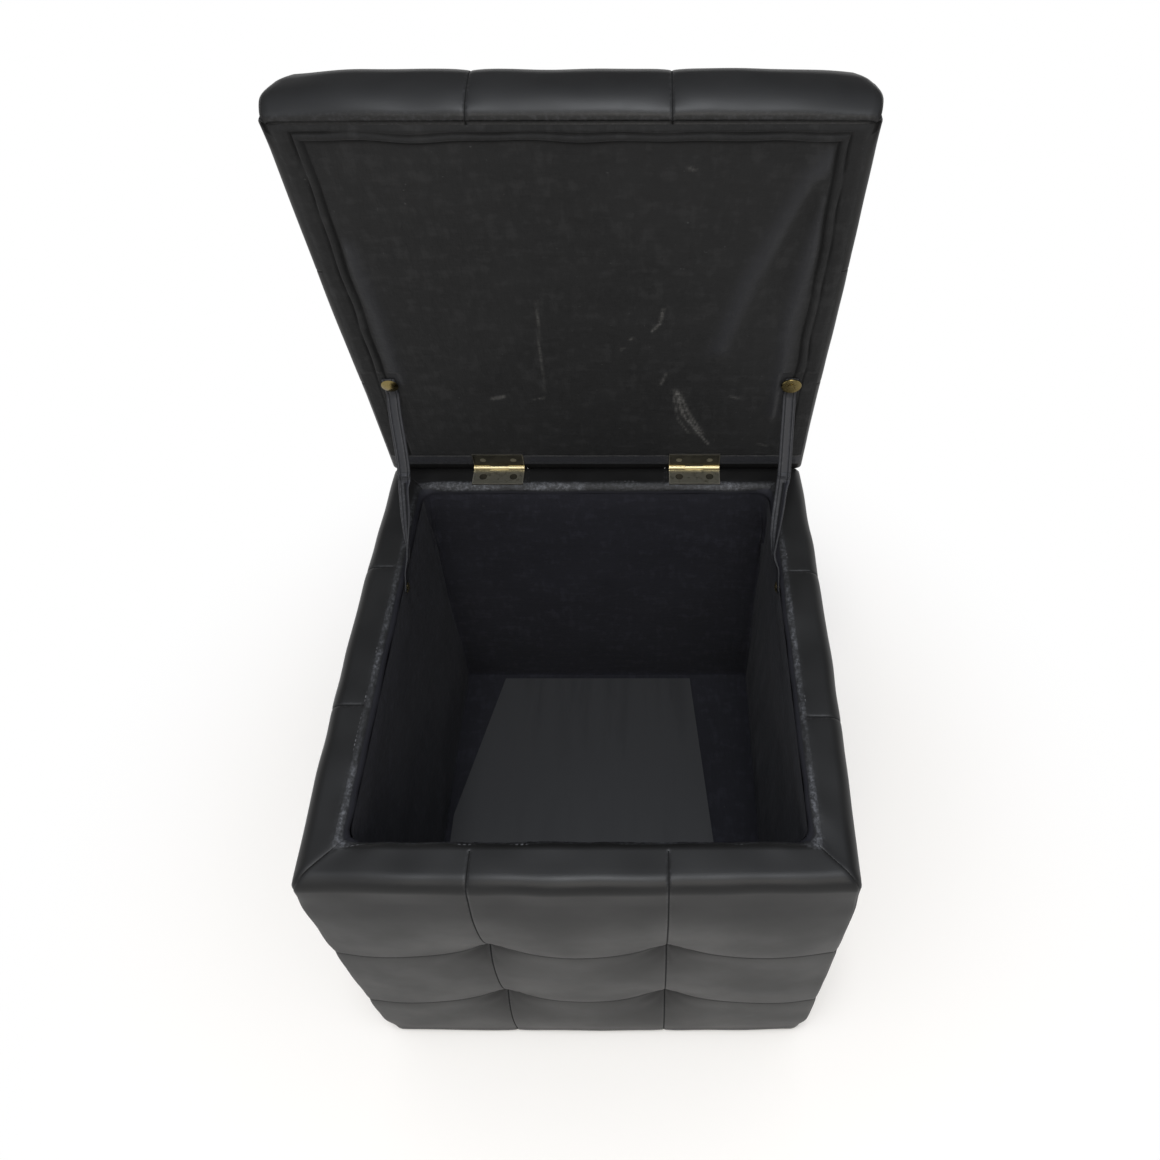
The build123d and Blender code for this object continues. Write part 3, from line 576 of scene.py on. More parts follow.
# The lid's leaf is the same brass as the box's leaf, painted far darker as painted shade
LID_LEAF_SHADED = metal("lid_leaf_brass_shaded", (0.024, 0.0225, 0.019), (0.012, 0.011, 0.0095), 0.42, 0.03,
                 LID_SCREWS, KNUCKLE_POLISH_AND_HIGHLIGHT, LID_EDGES, (0.15, 0.14, 0.12))
leaf_low, leaf_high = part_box("right_hinge_box_leaf")
BOX_EDGES = ((0, leaf_low[0]), (0, leaf_high[0]), (1, leaf_low[1]))
BOX_LEAF = metal("box_leaf_brass", (0.35, 0.335, 0.275), (0.15, 0.142, 0.116), 0.42, 0.03,
                 BOX_SCREWS, KNUCKLE_POLISH_AND_HIGHLIGHT, BOX_EDGES, (0.62, 0.58, 0.48))
PIN_BRASS = metal("pin_brass", (0.62, 0.52, 0.28), (0.34, 0.28, 0.15), 0.30, -0.05)
SCREW = metal("screw_brass", (0.13, 0.122, 0.10), (0.065, 0.060, 0.050), 0.36, 0.0)
TACK = metal("tack_brass", (0.21, 0.163, 0.066), (0.10, 0.078, 0.032), 0.24, 0.0)
# The box's tacks: the same brass as the lid's tacks, painted far brighter as a painted glint
BOX_TACK_GLINT = metal("box_tack_brass_glint", (0.62, 0.52, 0.27), (0.34, 0.28, 0.14), 0.26, 0.0)
STEEL = metal("zinc_steel", (0.55, 0.55, 0.53), (0.32, 0.32, 0.31), 0.40, 0.0)


# Box upholstery: one skin from the underside up the padded sides, over the rim and down inside

FACE_LOW, FACE_HIGH = 6.1, 366.0
SOLE_ROUND, SOLE_CORNER = 5.0, 14.0
RIM_INSET, RIM_ROUND, BACK_RIM_ROUND = 1.5, 12.0, 13.2
LIP_INSET, LIP_ROUND, LIP_POINTS = 27.0, 8.0, 9
INNER_CORNER = 12.0
INNER_FALL = ((34.6, 377.5), (34.3, 375.0), (34.2, 372.0), (34.2, 369.0), (34.2, 366.8), (33.8, 366.2), (33.2, 366.4))
BOX_TUFT, BOX_SWELL = 10.5, 4.0


def box_rows(rim_round):
    """Section of the wall as (inset, height, corner radius) from the sole to the turned-in edge."""
    rows = [(30.0, 1.15, SOLE_CORNER), (18.0, 1.1, SOLE_CORNER)]
    for turn in np.radians((-90, -65, -40, -18)):
        rows.append((6 - SOLE_ROUND * cos(turn), FACE_LOW + SOLE_ROUND * sin(turn), SOLE_CORNER))
    for z in stations(FACE_LOW, FACE_HIGH, ROW_SEAMS, *BOX_GRID):
        inset = (1 - smooth(5, 60, z)) + RIM_INSET * smooth(335, 372, z)
        rows.append((inset, z, SOLE_CORNER - 9.0 * smooth(5, 45, z)))
    edge = arc((RIM_INSET + rim_round, RIM - rim_round), rim_round, 175, 90, 12)
    rows += [(i, z, 5.5) for i, z in edge]
    rows += [(i, RIM, 6.0) for i in np.linspace(edge[-1][0], LIP_INSET - 0.6, 5)[1:]]
    lip = arc((0, RIM - LIP_ROUND), LIP_ROUND, 90, 0, LIP_POINTS)
    rows += [(LIP_INSET + r, z, 7.0 + 5.0 * k / (LIP_POINTS - 1)) for k, (r, z) in enumerate(lip)]
    rows += [(i, z, INNER_CORNER) for i, z in INNER_FALL]
    return np.array(rows)


def make_box_skin():
    rows = box_rows(RIM_ROUND)
    inset, z = rows[:, 0], rows[:, 1]
    lines = {name: stations(-HALF, HALF, (-HALF, *SIDE_SEAMS[name], HALF), *BOX_GRID) for name in SIDES}
    loop_x, loop_y, side, s = loop(lines)
    shape = len(rows), len(s)
    on_front, on_back = side == FRONT, side == BACK
    from_corner = HALF - abs(s)
    section, around = lengths(inset, z), lengths(loop_x, loop_y)
    along = np.broadcast_to(section[:, None], shape)
    outer = np.arange(len(rows)) <= np.argmax(z >= RIM - 0.01)
    face = (1 - smooth(340, 386, z)) * outer

    def only(some, values):
        """Values in the columns of some sides, 0 in the others."""
        return np.where(some, values, 0.0)

    # Form: a softer rim at the back, a crowned front, all sides swollen
    soft = only(on_back, smooth(0, 40, from_corner))[..., None]
    every = rows[:, None, :] * (1 - soft) + box_rows(BACK_RIM_ROUND)[:, None, :] * soft
    tip = 4.0 * np.clip((z - 290) / 82, 0, 1) ** 2 - 3.4 * smooth(190, 330, z)
    crowned = only(on_front, smooth(0, 70, from_corner))
    every[..., 0] += tip[:, None] * crowned * (1 - smooth(13, 25, every[..., 0]))
    swell = BOX_SWELL * (1 - (s / HALF) ** 2) * (0.4 + 0.6 * smooth(0, 260, z))[:, None]
    swell = swell * np.where(on_back, 1 - smooth(290, 350, z)[:, None], 1.0)
    swell = swell * (1 - smooth(11, 24, every[..., 0])) * (z > 5.5)[:, None]
    x, y = plan(loop_x, loop_y, HALF - every[..., 0] + swell, every[..., 2])
    base = np.stack([x, y, every[..., 1]], -1)
    quads = ring_quads(*shape)

    # Relief: tufts and valleys on the faces, shallow valleys over the rim
    depth, tuft, to_column = np.zeros(shape), np.full(shape, FAR), np.zeros(len(s))
    level = np.where(outer, z, RIM)
    for k, name in enumerate(SIDES):
        own, seams = side == k, SIDE_SEAMS[name]
        to_column[own] = nearest(s[own], (-HALF, *seams, HALF))
        depth[:, own] = quilt(s[own], level[:, None], seams, ROW_SEAMS, BOX_TUFT, 3 + k) * face[:, None]
        depth[:, own] += 0.3 * (1 - face)[:, None] * valley(to_column[own], RIM_VALLEY)
        tuft[:, own] = np.hypot(nearest(s[own], seams), nearest(level, ROW_SEAMS)[:, None])
    to_row = np.where(outer, nearest(z, ROW_SEAMS), FAR)

    # Lip: the crackled band where the rim turns down, its stitches, and the fall inside tinted like the lining
    lip_start = section[np.argmax((inset >= LIP_INSET - 0.5) & (z > RIM - 5))]
    off_corner = smooth(4, 26, from_corner)
    front_lip = only(on_front, off_corner)
    lip_at = lip_start + 5.5 * front_lip
    lip_end = lip_at + 3.8 + 4.2 * only(on_back, off_corner)
    faint = only((side == RIGHT) | (side == LEFT), 0.5 * smooth(-60, 110, loop_y))
    lip = smooth(lip_at - 1.0, lip_at + 1.0, along) * (1 - smooth(lip_end, lip_end + 2.5, along))
    lip = lip * (1 - 0.5 * front_lip) * (1 - faint)
    stitch = abs(along - lip_at + 0.8)
    inner = smooth(lip_end + 0.8, lip_end + 3.2, along)
    depth += 0.4 * lip * waves(21, around, 3 * section[:, None], 9.0)
    uneven = waves(22, around, section[:, None], 45.0) * (section > 30)[:, None]
    depth += 0.35 * (1 - face)[:, None] * uneven
    hinge_rim = on_back & ((z > 374) & (inset < 26))[:, None]
    depth = np.where(hinge_rim, 0.02, depth)
    base = base - normals(base, quads) * depth[..., None]

    # Blown up between corners, sole, rim and tufts, then sewn
    corner, at_rim = abs(s) > HALF - 0.01, face < 0.15
    held = corner | ((z < 9.5) | at_rim)[:, None] | (tuft < TUFT_HOLD)
    u = np.append(around, around[-1] + np.hypot(loop_x[-1] - loop_x[0], loop_y[-1] - loop_y[0]))
    u_marks, u_breaks = np.append(around[to_column < 0.01], u[-1]), np.append(around[corner], u[-1])
    v_breaks = [section[0], section[np.argmax(at_rim)], section[-1]]
    v_marks = [*v_breaks, *section[to_row < 0.01]]
    base = base + inflate(base, u, section, u_marks, v_marks, u_breaks, v_breaks, held, True)
    seam = np.minimum(np.where(along > lip_start - 0.5, FAR, to_column), 1.5 * to_row[:, None])
    groove = np.where(hinge_rim, 0, GROOVE_DEPTH * bell(seam, GROOVE_WIDTH) * (along > 12))
    base = base - normals(base, quads) * groove[..., None]

    run, matte = np.broadcast_to(around, shape), np.broadcast_to(face[:, None], shape)
    skin = mesh_object("box_upholstery", base, quads, LEATHER,
                       seam=seam, lip=lip, stitch=stitch, run=run, inner=inner, matte=matte)
    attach(skin, "box")
    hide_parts(*(f"{side}_{part}" for side in SIDES for part in ("cover", "foam")))


# Lid upholstery: quilted top, padded band and the edge turned under the board

TURNED_IN = 25.0  # length of the section that lies under the board
CREASE_ROW = 6  # the row of lid_rows() at the bottom of the crease
TOP_ROUND, LID_TUFT = 10.0, 9.0


def lid_rows(edge, crease):
    """Section of the lid's rim as (inset, height, corner radius) from the turned-in edge to the top."""
    rows = [(i, LID_LOW - 0.05) for i in (26.0, 16.0, 10.0, edge + 2.2, edge + 1.2)]
    rows += [(edge + 0.6, LID_LOW + 0.4 * crease), (edge, LID_LOW + crease), (edge - 0.6, LID_LOW + 0.5 * crease)]
    rows += [(edge - r, z) for r, z in arc((0, LID_LOW + edge), edge, -80, 0, 6)[1:]]
    rows += [(0.0, z) for z in np.linspace(LID_LOW + edge + 0.8, LID_TOP - 12.0, 24)]
    rows += [(TOP_ROUND - r, z) for r, z in arc((0, LID_TOP - 11.0), TOP_ROUND, 0, 90, 11)]
    return np.array([(inset, z, 5.0 + 15.0 * smooth(18, LID_TOP - 6, z)) for inset, z in rows])


def lid_swell(x, y):
    """How far the lid's padding stands out: most in front, less towards the hinges, drawn in at the corners."""
    front = 12.5 - 5.2 * smooth(140, HALF, abs(x))
    side = 6.0 * (1 - 0.8 * smooth(-120, 190, y)) * (1 - 0.25 * smooth(120, HALF, -y))
    return np.where(y < 1 - HALF, front, np.where(y > HALF - 1, 0.4, side))


def side_step(y):
    """How far the sides' lower edge stands out."""
    return np.where(abs(y) < HALF - 1, 3.2 * (1 - smooth(-60, 150, y)), 0.0)


def make_lid_skin():
    ends, columns, rows = (-HALF, HALF), (-HALF, *LID_SEAMS, HALF), (-HALF, *LID_CROSS_SEAMS, HALF)
    wide_lines, deep_lines = stations(*ends, columns, *LID_GRID), stations(*ends, rows, *LID_GRID)
    lines = {"front": wide_lines, "right": deep_lines, "back": -wide_lines[::-1], "left": -deep_lines[::-1]}
    loop_x, loop_y, side, s = loop(lines)
    around = lengths(loop_x, loop_y)

    # Band: a rolled bolster with a crease under it in front, plainly rounded elsewhere
    near_hinge = smooth(140, 185, loop_y)
    front_edge = np.select([side == FRONT, side == BACK], [1.0, 0.0], smooth(-170, -200, loop_y))
    creased, plain = lid_rows(1.8, 2.2), lid_rows(5.0, 0.0)
    band = creased[:, None, :] * front_edge[None, :, None] + plain[:, None, :] * (1 - front_edge)[None, :, None]
    height, level = lengths(creased[:, 0], creased[:, 1]), creased[:, 1]
    up, shown = level - LID_LOW, height > TURNED_IN
    bolster = 0.28 * quarter(up, 4) + 0.72 * (1 - (1 - np.clip(up / 38, 0, 1)) ** 3)
    puff = bolster[:, None] * front_edge + quarter(up, 24)[:, None] * (1 - front_edge)
    puff = puff * (shown * (1 - 0.44 * smooth(LID_TOP - 20, LID_TOP - 1, level)))[:, None]
    foot = shown * (1 - smooth(LID_LOW + 14, LID_TOP - 14, level))
    swell = np.maximum(puff * lid_swell(loop_x, loop_y), foot[:, None] * side_step(loop_y))
    x, y = plan(loop_x, loop_y, HALF - band[..., 0] + swell, band[..., 2])
    ring = np.stack([x, y + LID_MIDDLE, band[..., 1]], -1)

    # Top: quilted and blown up between its tufts and its edge
    gx, gy = np.meshgrid(wide_lines, deep_lines)
    x, y = plan(gx, gy, HALF - TOP_ROUND + puff[-1, 0] * lid_swell(gx, gy), band[-1, 0, 2])
    crown = 1 - np.maximum(abs(gx), abs(gy)) / HALF
    top = np.stack([x, y + LID_MIDDLE, LID_TOP - 1.0 + 3.0 * smooth(0, 0.5, crown)], -1)
    to_column, to_row = nearest(gx, LID_SEAMS), nearest(gy, LID_CROSS_SEAMS)
    top_seam = np.minimum(to_column, to_row)
    inside = smooth(0.0, 0.16, crown)
    tufted = quilt(gx, gy, LID_SEAMS, LID_CROSS_SEAMS, LID_TUFT, 11)
    top[..., 2] -= tufted * inside + 1.2 * valley(top_seam, SEAM_VALLEY) * (1 - inside)
    held = (np.hypot(to_column, to_row) < TUFT_HOLD) | (crown < 0.02)
    top = top + inflate(top, wide_lines, deep_lines, columns, rows, ends, ends, held, False)

    # Relief of the band, and both in one mesh
    seams = (LID_SEAMS, LID_CROSS_SEAMS, tuple(-m for m in LID_SEAMS[::-1]), LID_CROSS_SEAMS)
    band_seam = np.choose(side.astype(int), [nearest(s, marks) for marks in seams])
    drawn_in = 1.1 * valley(band_seam, SEAM_VALLEY) + 0.6 * valley(HALF - abs(s), RIM_VALLEY)
    sink = drawn_in * smooth(LID_LOW, LID_LOW + 15, level)[:, None]
    sink = sink * (1 - near_hinge * smooth(38, 14, level)[:, None])
    sink = sink + 0.4 * waves(31, around, height[:, None], 60.0) * puff * (1 - near_hinge)
    ring = ring - normals(ring, ring_quads(*ring.shape[:2])) * sink[..., None]
    points, quads, number = tray(top, ring, -1)
    seam, stitch = np.full(len(points), FAR), np.full(len(points), FAR)
    turned, run = np.zeros(len(points)), np.zeros(len(points))
    seam[:top_seam.size] = top_seam.reshape(-1)
    seam[number] = np.minimum(seam[number], band_seam)
    points = points - normals(points, quads) * (GROOVE_DEPTH * bell(seam, GROOVE_WIDTH))[:, None]

    # The crease as a dark line of painted shade, with some stitches showing beside it in front
    from_crease = height - height[CREASE_ROW]
    crease_shade_line = np.where(front_edge > 0.5, 0.1, FAR) + 0.4 * abs(from_crease)[:, None]
    seam[number] = np.minimum(seam[number], crease_shade_line)
    stitched = (waves(33, around, 0 * around, 45.0) > 0.55) & (side == FRONT)
    stitch[number] = np.where(stitched, 0.0, FAR) + abs(from_crease + 1.8)[:, None]
    turned[number] = smooth(16, 4, height)[:, None]
    run[number] = around
    skin = mesh_object("lid_upholstery", to_lid(points), quads, LEATHER,
                       seam=seam, lip=0.25 * turned, stitch=stitch, run=run)
    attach(skin, "lid")
    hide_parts("lid_cover", "lid_foam")


# Lid lining: cloth with a doubled hem round its edge, slack diagonal folds and pale scuffs

HEMS = (16.0, 23.0)  # both edges of the hem, from the lid's side
HEM_SHIFT = 7.3  # how much nearer to the edge the hem is in front
SIDE_MARGIN, FRONT_MARGIN = 3.0, 2.5  # from the lid's edge to the cloth's
HINGE_END, STRIP = 192.0, 177.0  # the cloth's end by the hinges, and where the strip along it starts
LINING_FLAT, LINING_HIGHEST = LID_LOW - 0.95, LID_LOW - 0.12

# Folds and scuffs as lines on the lid: strength, width, points
LONG_FOLDS = (
    (1.0, 8.0, ((178, -177), (166, -159), (149, -110), (130, -58), (112, 20))),
    (1.0, 7.0, ((182, -140), (174, -76), (168, -16), (168, 110))),
    (-0.9, 7.0, ((172, -150), (159, -106), (149, -40), (132, 12))),
    (0.9, 7.0, ((-175, -95), (-171, -31), (-170, 60))),
)
SCUFFS = (
    (0.7, 0.9, ((76, 76), (84, 112), (97, 136), (110, 159))),
    (0.5, 1.0, ((79, 80), (90, 112), (102, 140))),
    (0.4, 0.9, ((74, 82), (79, 118), (90, 140))),
    (0.22, 4.5, ((77, 78), (86, 112), (100, 140))),
    (0.5, 1.1, ((64, -28), (61, -11), (55, -2))),
    (0.30, 0.8, ((-38, -38), (-41, 20), (-42, 79))),
    (0.6, 1.8, ((-90, 88), (-80, 85))),
    (0.5, 0.9, ((-53, 89), (-43, 87))),
    (0.4, 1.1, ((63, 67), (67, 53))),
    (0.45, 1.2, ((38, 7), (37, 8))),
    (0.45, 1.2, ((30, 20), (29, 21))),
    (0.3, 1.4, ((125, 84), (133, 88))),
    (0.3, 1.4, ((158, 158), (166, 161))),
    (0.35, 1.3, ((81, -168), (84, -166))),
)


def drawn(x, y, lines):
    """Sum of broken lines, each fading to both sides."""
    total = 0.0
    for strength, width, path in lines:
        away = np.full(x.shape, 1e9)
        for (ax, ay), (bx, by) in zip(path, path[1:]):
            dx, dy = bx - ax, by - ay
            t = np.clip(((x - ax) * dx + (y - ay) * dy) / (dx ** 2 + dy ** 2), 0, 1)
            away = np.minimum(away, np.hypot(x - ax - t * dx, y - ay - t * dy))
        total = total + strength * bell(away, width)
    return total


def make_lid_lining():
    hem_sides = tuple(sign * (HALF - h) for h in HEMS for sign in (1, -1))
    hem_fronts = tuple(h - HEM_SHIFT - HALF for h in HEMS)
    lines_x = stations(SIDE_MARGIN - HALF, HALF - SIDE_MARGIN, hem_sides, *HEM_GRID)
    lines_y = stations(FRONT_MARGIN - HALF, HINGE_END, (*hem_fronts, STRIP), *HEM_GRID)
    gx, gy = np.meshgrid(lines_x, lines_y)
    from_side = HALF - abs(gx) + 1.2 * waves(41, gx, gy, 75.0)
    from_front = gy + HALF + HEM_SHIFT + waves(44, gx, gy, 65.0)
    from_edge = np.minimum(from_side, from_front)
    main = smooth(HEMS[1] + 1, HEMS[1] + 5, from_edge) * (1 - smooth(STRIP - 4, STRIP - 1, gy))

    outer_crease = bell(from_edge - HEMS[0], 0.9) * np.clip(0.65 + 0.35 * waves(45, gx, gy, 40.0), 0.1, 1)
    inner_crease = 1.3 * bell(from_edge - HEMS[1], 1.1) * np.clip(0.8 + 0.3 * waves(47, gx, gy, 55.0), 0.2, 1)
    creases = np.clip(outer_crease + inner_crease, 0, 1)
    creases = np.where(gy > STRIP, 0, creases) + 0.8 * bell(gy - STRIP, 0.9)
    hem = np.sin(pi * np.clip((from_edge - HEMS[0]) / (HEMS[1] - HEMS[0]), 0, 1))
    hem = hem + 0.8 * np.sin(pi * np.clip(from_edge / HEMS[0], 0, 1))
    long_fold = drawn(gx, gy, LONG_FOLDS)
    fine_folds = 0.16 * waves(42, gx, gy, 40.0) + 0.10 * waves(43, gx, 0.6 * gy, 14.0)
    fine_folds = fine_folds + 0.06 * waves(46, 1.6 * gx, gy, 8.0)
    level = LINING_FLAT - 1.5 * np.maximum(hem, 0) * (1 - main)
    level = level - (0.3 + 2.2 * long_fold + fine_folds) * main + 1.5 * creases

    # Pressed flat under the straps and the hinges, and down to the skin along its edge
    strapped = smooth(166, 170, abs(gx)) * smooth(45, 55, gy)
    hinged = smooth(STRIP - 10, STRIP - 2, gy)
    level = np.where(np.maximum(strapped, hinged) > 0.5, np.maximum(level, LINING_FLAT), level)
    level = np.minimum(level, LINING_HIGHEST)
    border = smooth(0, 4, np.minimum(HALF - SIDE_MARGIN - abs(gx), gy + HALF - FRONT_MARGIN))
    level = LINING_HIGHEST + (level - LINING_HIGHEST) * border
    sheet = np.stack([gx, gy + LID_MIDDLE, level], -1)

    # Painted highlights along both edges of the hinge strip, added to the real scuffs
    strip_edge_highlights = bell(gy - STRIP - 1.6, 0.8) + 0.8 * bell(gy - HINGE_END + 1.5, 0.8)
    scuff = np.clip(drawn(gx, gy, SCUFFS) + 0.6 * strip_edge_highlights, 0, 1)
    # The strip share also lightens the long folds' ridges: a painted highlight
    strip = smooth(STRIP + 0.2, STRIP + 1.2, gy) + 0.6 * np.clip(long_fold, 0, 1) * main
    lining = mesh_object("lid_lining_cloth", to_lid(sheet), grid_quads(*gx.shape)[:, ::-1], CLOTH,
                         scuff=scuff, crease=np.clip(creases, 0, 1), strip=strip)
    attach(lining, "lid")
    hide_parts("lid_lining")


# Box lining: walls and floor of the store in one cloth, creased in the corners

STORE_FLOOR, STORE_TOP = 35.3, 379.2
STORE_HALF, FLOOR_HALF, STORE_CORNER = 172.0, 171.2, 5.0
LINING_TOP = 368.0  # of the CAD lining; the cloth goes on up to the lip


def make_store_lining():
    lines = stations(-HALF, HALF, (-HALF, HALF), *WALL_GRID)
    loop_x, loop_y, side, s = loop({name: lines for name in SIDES})
    z = np.concatenate([[STORE_FLOOR, 35.6, 37.0], np.linspace(41.0, 360.0, 54),
                        [364.0, LINING_TOP, 372.0, 376.0, STORE_TOP]])
    half = np.where(z < 36.5, FLOOR_HALF, STORE_HALF - 2.3 * smooth(320, 364, z))
    corner = STORE_CORNER + 7.0 * smooth(320, 366, z)
    x, y = plan(loop_x, loop_y, half[:, None], corner[:, None])
    walls = np.stack([x, y, np.broadcast_to(z[:, None], x.shape)], -1)
    gx, gy = np.meshgrid(lines, lines)
    x, y = plan(gx, gy, FLOOR_HALF, STORE_CORNER)
    floor = np.stack([x, y, np.full_like(x, STORE_FLOOR)], -1)

    # Slack of the walls: bellies, ripples, stronger low on the right, and a slanting crease beside each corner
    from_corner, all_round = HALF - abs(s), s + 300 * side
    ripple = waves(51, all_round, 0.16 * z[:, None], 26.0)
    slack = waves(52, all_round, z[:, None], 130.0)
    diagonal = from_corner - 6.0 - 34.0 * (1 - z[:, None] / LINING_TOP)
    crease = bell(diagonal, 3.0) - 0.7 * bell(diagonal - 6, 5.0)
    rippled = 1 + 1.6 * (side == RIGHT) * (1 - smooth(150, 260, z))[:, None]
    belly = 0.8 + 0.8 * slack + 0.3 * ripple * rippled + 1.6 * crease
    free = smooth(36, 80, z)[:, None] * (1 - smooth(330, 366, z))[:, None]
    inward = -normals(walls, ring_quads(*walls.shape[:2]))
    walls = walls + inward * (np.clip(belly, 0.0, 3.4) * free)[..., None]
    points, quads, number = tray(floor, walls, 0)

    # Painted shade darkening the floor, and a paler line on the left wall beside the back corner
    shaded = np.where(np.arange(len(points)) < gx.size, 0.45, 0.0)
    pale_corner_line = np.zeros(len(points))
    from_back = np.where((side == LEFT) & (loop_y > 0), from_corner, FAR)
    pale_corner_line[number] = 0.35 * bell(from_back - 13.5, 1.8) * smooth(60, 120, z)[:, None]
    lining = mesh_object("store_lining", points, quads, LINING, scuff=pale_corner_line, crease=shaded)
    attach(lining, "box")
    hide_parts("lining")


# Dust cover: thin cloth stapled under the box

def make_dust_cloth():
    count = 60
    lines = np.linspace(-HALF, HALF, count)
    gx, gy = np.meshgrid(lines, lines)
    low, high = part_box("dust_cover")
    x, y = plan(gx, gy, (high[0] - low[0]) / 2 * METRE, 6.0)
    inside = smooth(0, 0.12, 1 - np.maximum(abs(gx), abs(gy)) / HALF)
    z = 0.05 + 0.5 * inside * np.clip(0.6 + 0.3 * waves(61, gx, gy, 70.0), 0, 1)
    dust = mesh_object("dust_cloth", np.stack([x, y, z], -1), grid_quads(count, count)[:, ::-1], DUST)
    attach(dust, "box")
    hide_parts("dust_cover")


# Straps: folded imitation leather, flat on the lid and turned a quarter on the way down to the wall

TOP_TACK, WALL_TACK = (179.0, -127.0, 1.45), (168.9, 62.0, 374.0)  # the first in lid coordinates
CROSS_FOLD = 0.46  # share of the way at which the strap is folded across
LONG_FOLD, SEWN = 0.8, 3.3  # the lengthwise fold below that and the two sewn lines, from the strap's middle
STRAP_FACE = ((-6.0, 0.0), (-5.6, 0.62), (-4.6, 0.8), (-3.7, 0.72), (-SEWN, 0.42), (-2.9, 0.7), (-1.5, 0.72),
              (0.0, 0.7), (1.5, 0.72), (2.9, 0.7), (SEWN, 0.42), (3.7, 0.72), (4.6, 0.8), (5.6, 0.62), (6.0, 0.0))
STRAP_SECTION = (*STRAP_FACE, *((a, -b) for a, b in STRAP_FACE[-2:0:-1]))


def strap_line(sign):
    """A strap from the lid's tack to the wall's: middle, quarter turn, lengthwise fold and share of the way at each
    station, and the direction in which it falls."""
    down_lid = np.array([0, cos(OPEN), -sin(OPEN)])
    top = to_lid(np.array([sign * TOP_TACK[0], TOP_TACK[1], TOP_TACK[2]]))
    low = np.array([sign * WALL_TACK[0], WALL_TACK[1], WALL_TACK[2]])
    fall = np.array([0, low[1] - top[1], low[2] - top[2]])
    fall /= np.linalg.norm(fall)
    leave, land = top + down_lid * 12, low - fall * 14
    points = [(top + down_lid * t, 0.0) for t in (-9, -6, -3, 0, 4, 8)]
    for share in np.concatenate([np.linspace(0, 0.42, 14), np.linspace(0.43, 0.49, 13), np.linspace(0.5, 1, 20)]):
        inward = 4.6 * smooth(0, 0.45, share) if sign < 0 else 3.4 * smooth(0.40, 0.80, share)
        inward *= 1 - smooth(0.90, 1.0, share)
        bow = np.array([-sign * inward, 0.5 * sin(pi * share), 0])
        points.append((leave + (land - leave) * share + bow, share))
    points += [(low + fall * t, 1.0) for t in (-9, -4, 0, 2, 3.5)]
    share = np.array([float(t) for _, t in points])
    fold = 0.95 * smooth(CROSS_FOLD, 0.54, share) * (1 - smooth(0.88, 1.0, share))
    return np.array([q for q, _ in points]), pi / 2 * smooth(0.62, 1.06, share), fold, share, fall


def make_strap(hand, sign):
    middle, turn, fold, share, fall = strap_line(sign)
    ahead = np.gradient(middle, axis=0)
    ahead /= np.linalg.norm(ahead, axis=1, keepdims=True)
    wall_side = np.array([0, fall[2], -fall[1]])
    across = np.array([1.0, 0, 0]) * np.cos(turn)[:, None] + wall_side * np.sin(turn)[:, None]
    across -= ahead * np.sum(across * ahead, axis=1, keepdims=True)
    across /= np.linalg.norm(across, axis=1, keepdims=True)
    out = np.cross(ahead, across)
    shown = np.sign(out[len(out) // 2] @ np.array([0, -1.0, 0.5]))
    from_fold = share - CROSS_FOLD
    thick = 1 + 2.0 * bell(from_fold, 0.010)[:, None]
    points = []
    for a, b in STRAP_SECTION:
        bent = fold[:, None] * (a > LONG_FOLD)
        flat, turned = min(a, LONG_FOLD), max(a - LONG_FOLD, 0)
        arm = (flat + turned * np.cos(bent)) * across + shown * turned * np.sin(bent) * out
        face = out * np.cos(bent) - shown * np.sin(bent) * across
        points.append(middle + arm + b * thick * face)
    points = np.stack(points, axis=1)
    rows, columns = points.shape[:2]
    quads = ring_quads(rows, columns).tolist()
    quads += [list(range(columns))[::-1], [(rows - 1) * columns + c for c in range(columns)]]

    def each(values):
        """A value for each point of the section."""
        return np.array([float(value) for value in values])

    sewn = each(min(abs(abs(a) - SEWN), 6.0) + 0.25 for a, _ in STRAP_SECTION)
    # Dark lines along the lengthwise fold and beside the cross fold are painted shade, drawn in the sewn lines'
    # colour
    lengthwise = each(0.35 * abs(a - LONG_FOLD) for a, _ in STRAP_SECTION) + 9.0 * (fold < 0.4)[:, None]
    cross_fold_shade = 180 * abs(abs(from_fold) - 0.018)[:, None] + 0.15
    seam = np.minimum(np.minimum(sewn, lengthwise), cross_fold_shade)
    # The lower strap's broad facet gets the pale lip colour as painted light
    lower = smooth(0.475, 0.50, share)[:, None]
    painted_light_facet = each(a < 0.3 for a, _ in STRAP_SECTION)
    # The facet folded back inside the lengthwise fold gets the inner tint as painted shade
    slit_shade = each(LONG_FOLD < a < 5.0 and b * shown > 0 for a, b in STRAP_SECTION)
    obj = mesh_object(f"{hand}_strap_band", points, quads, STRAP, seam=seam, lip=0.25 * lower * painted_light_facet,
                      stitch=np.full((rows, columns), FAR), inner=lower * slit_shade)
    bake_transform(obj)
    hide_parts(f"{hand}_strap")


make_box_skin()
make_lid_skin()
make_lid_lining()
make_store_lining()
make_dust_cloth()
make_strap("left", -1)
make_strap("right", 1)


# Finishes of the CAD pieces that keep their shape

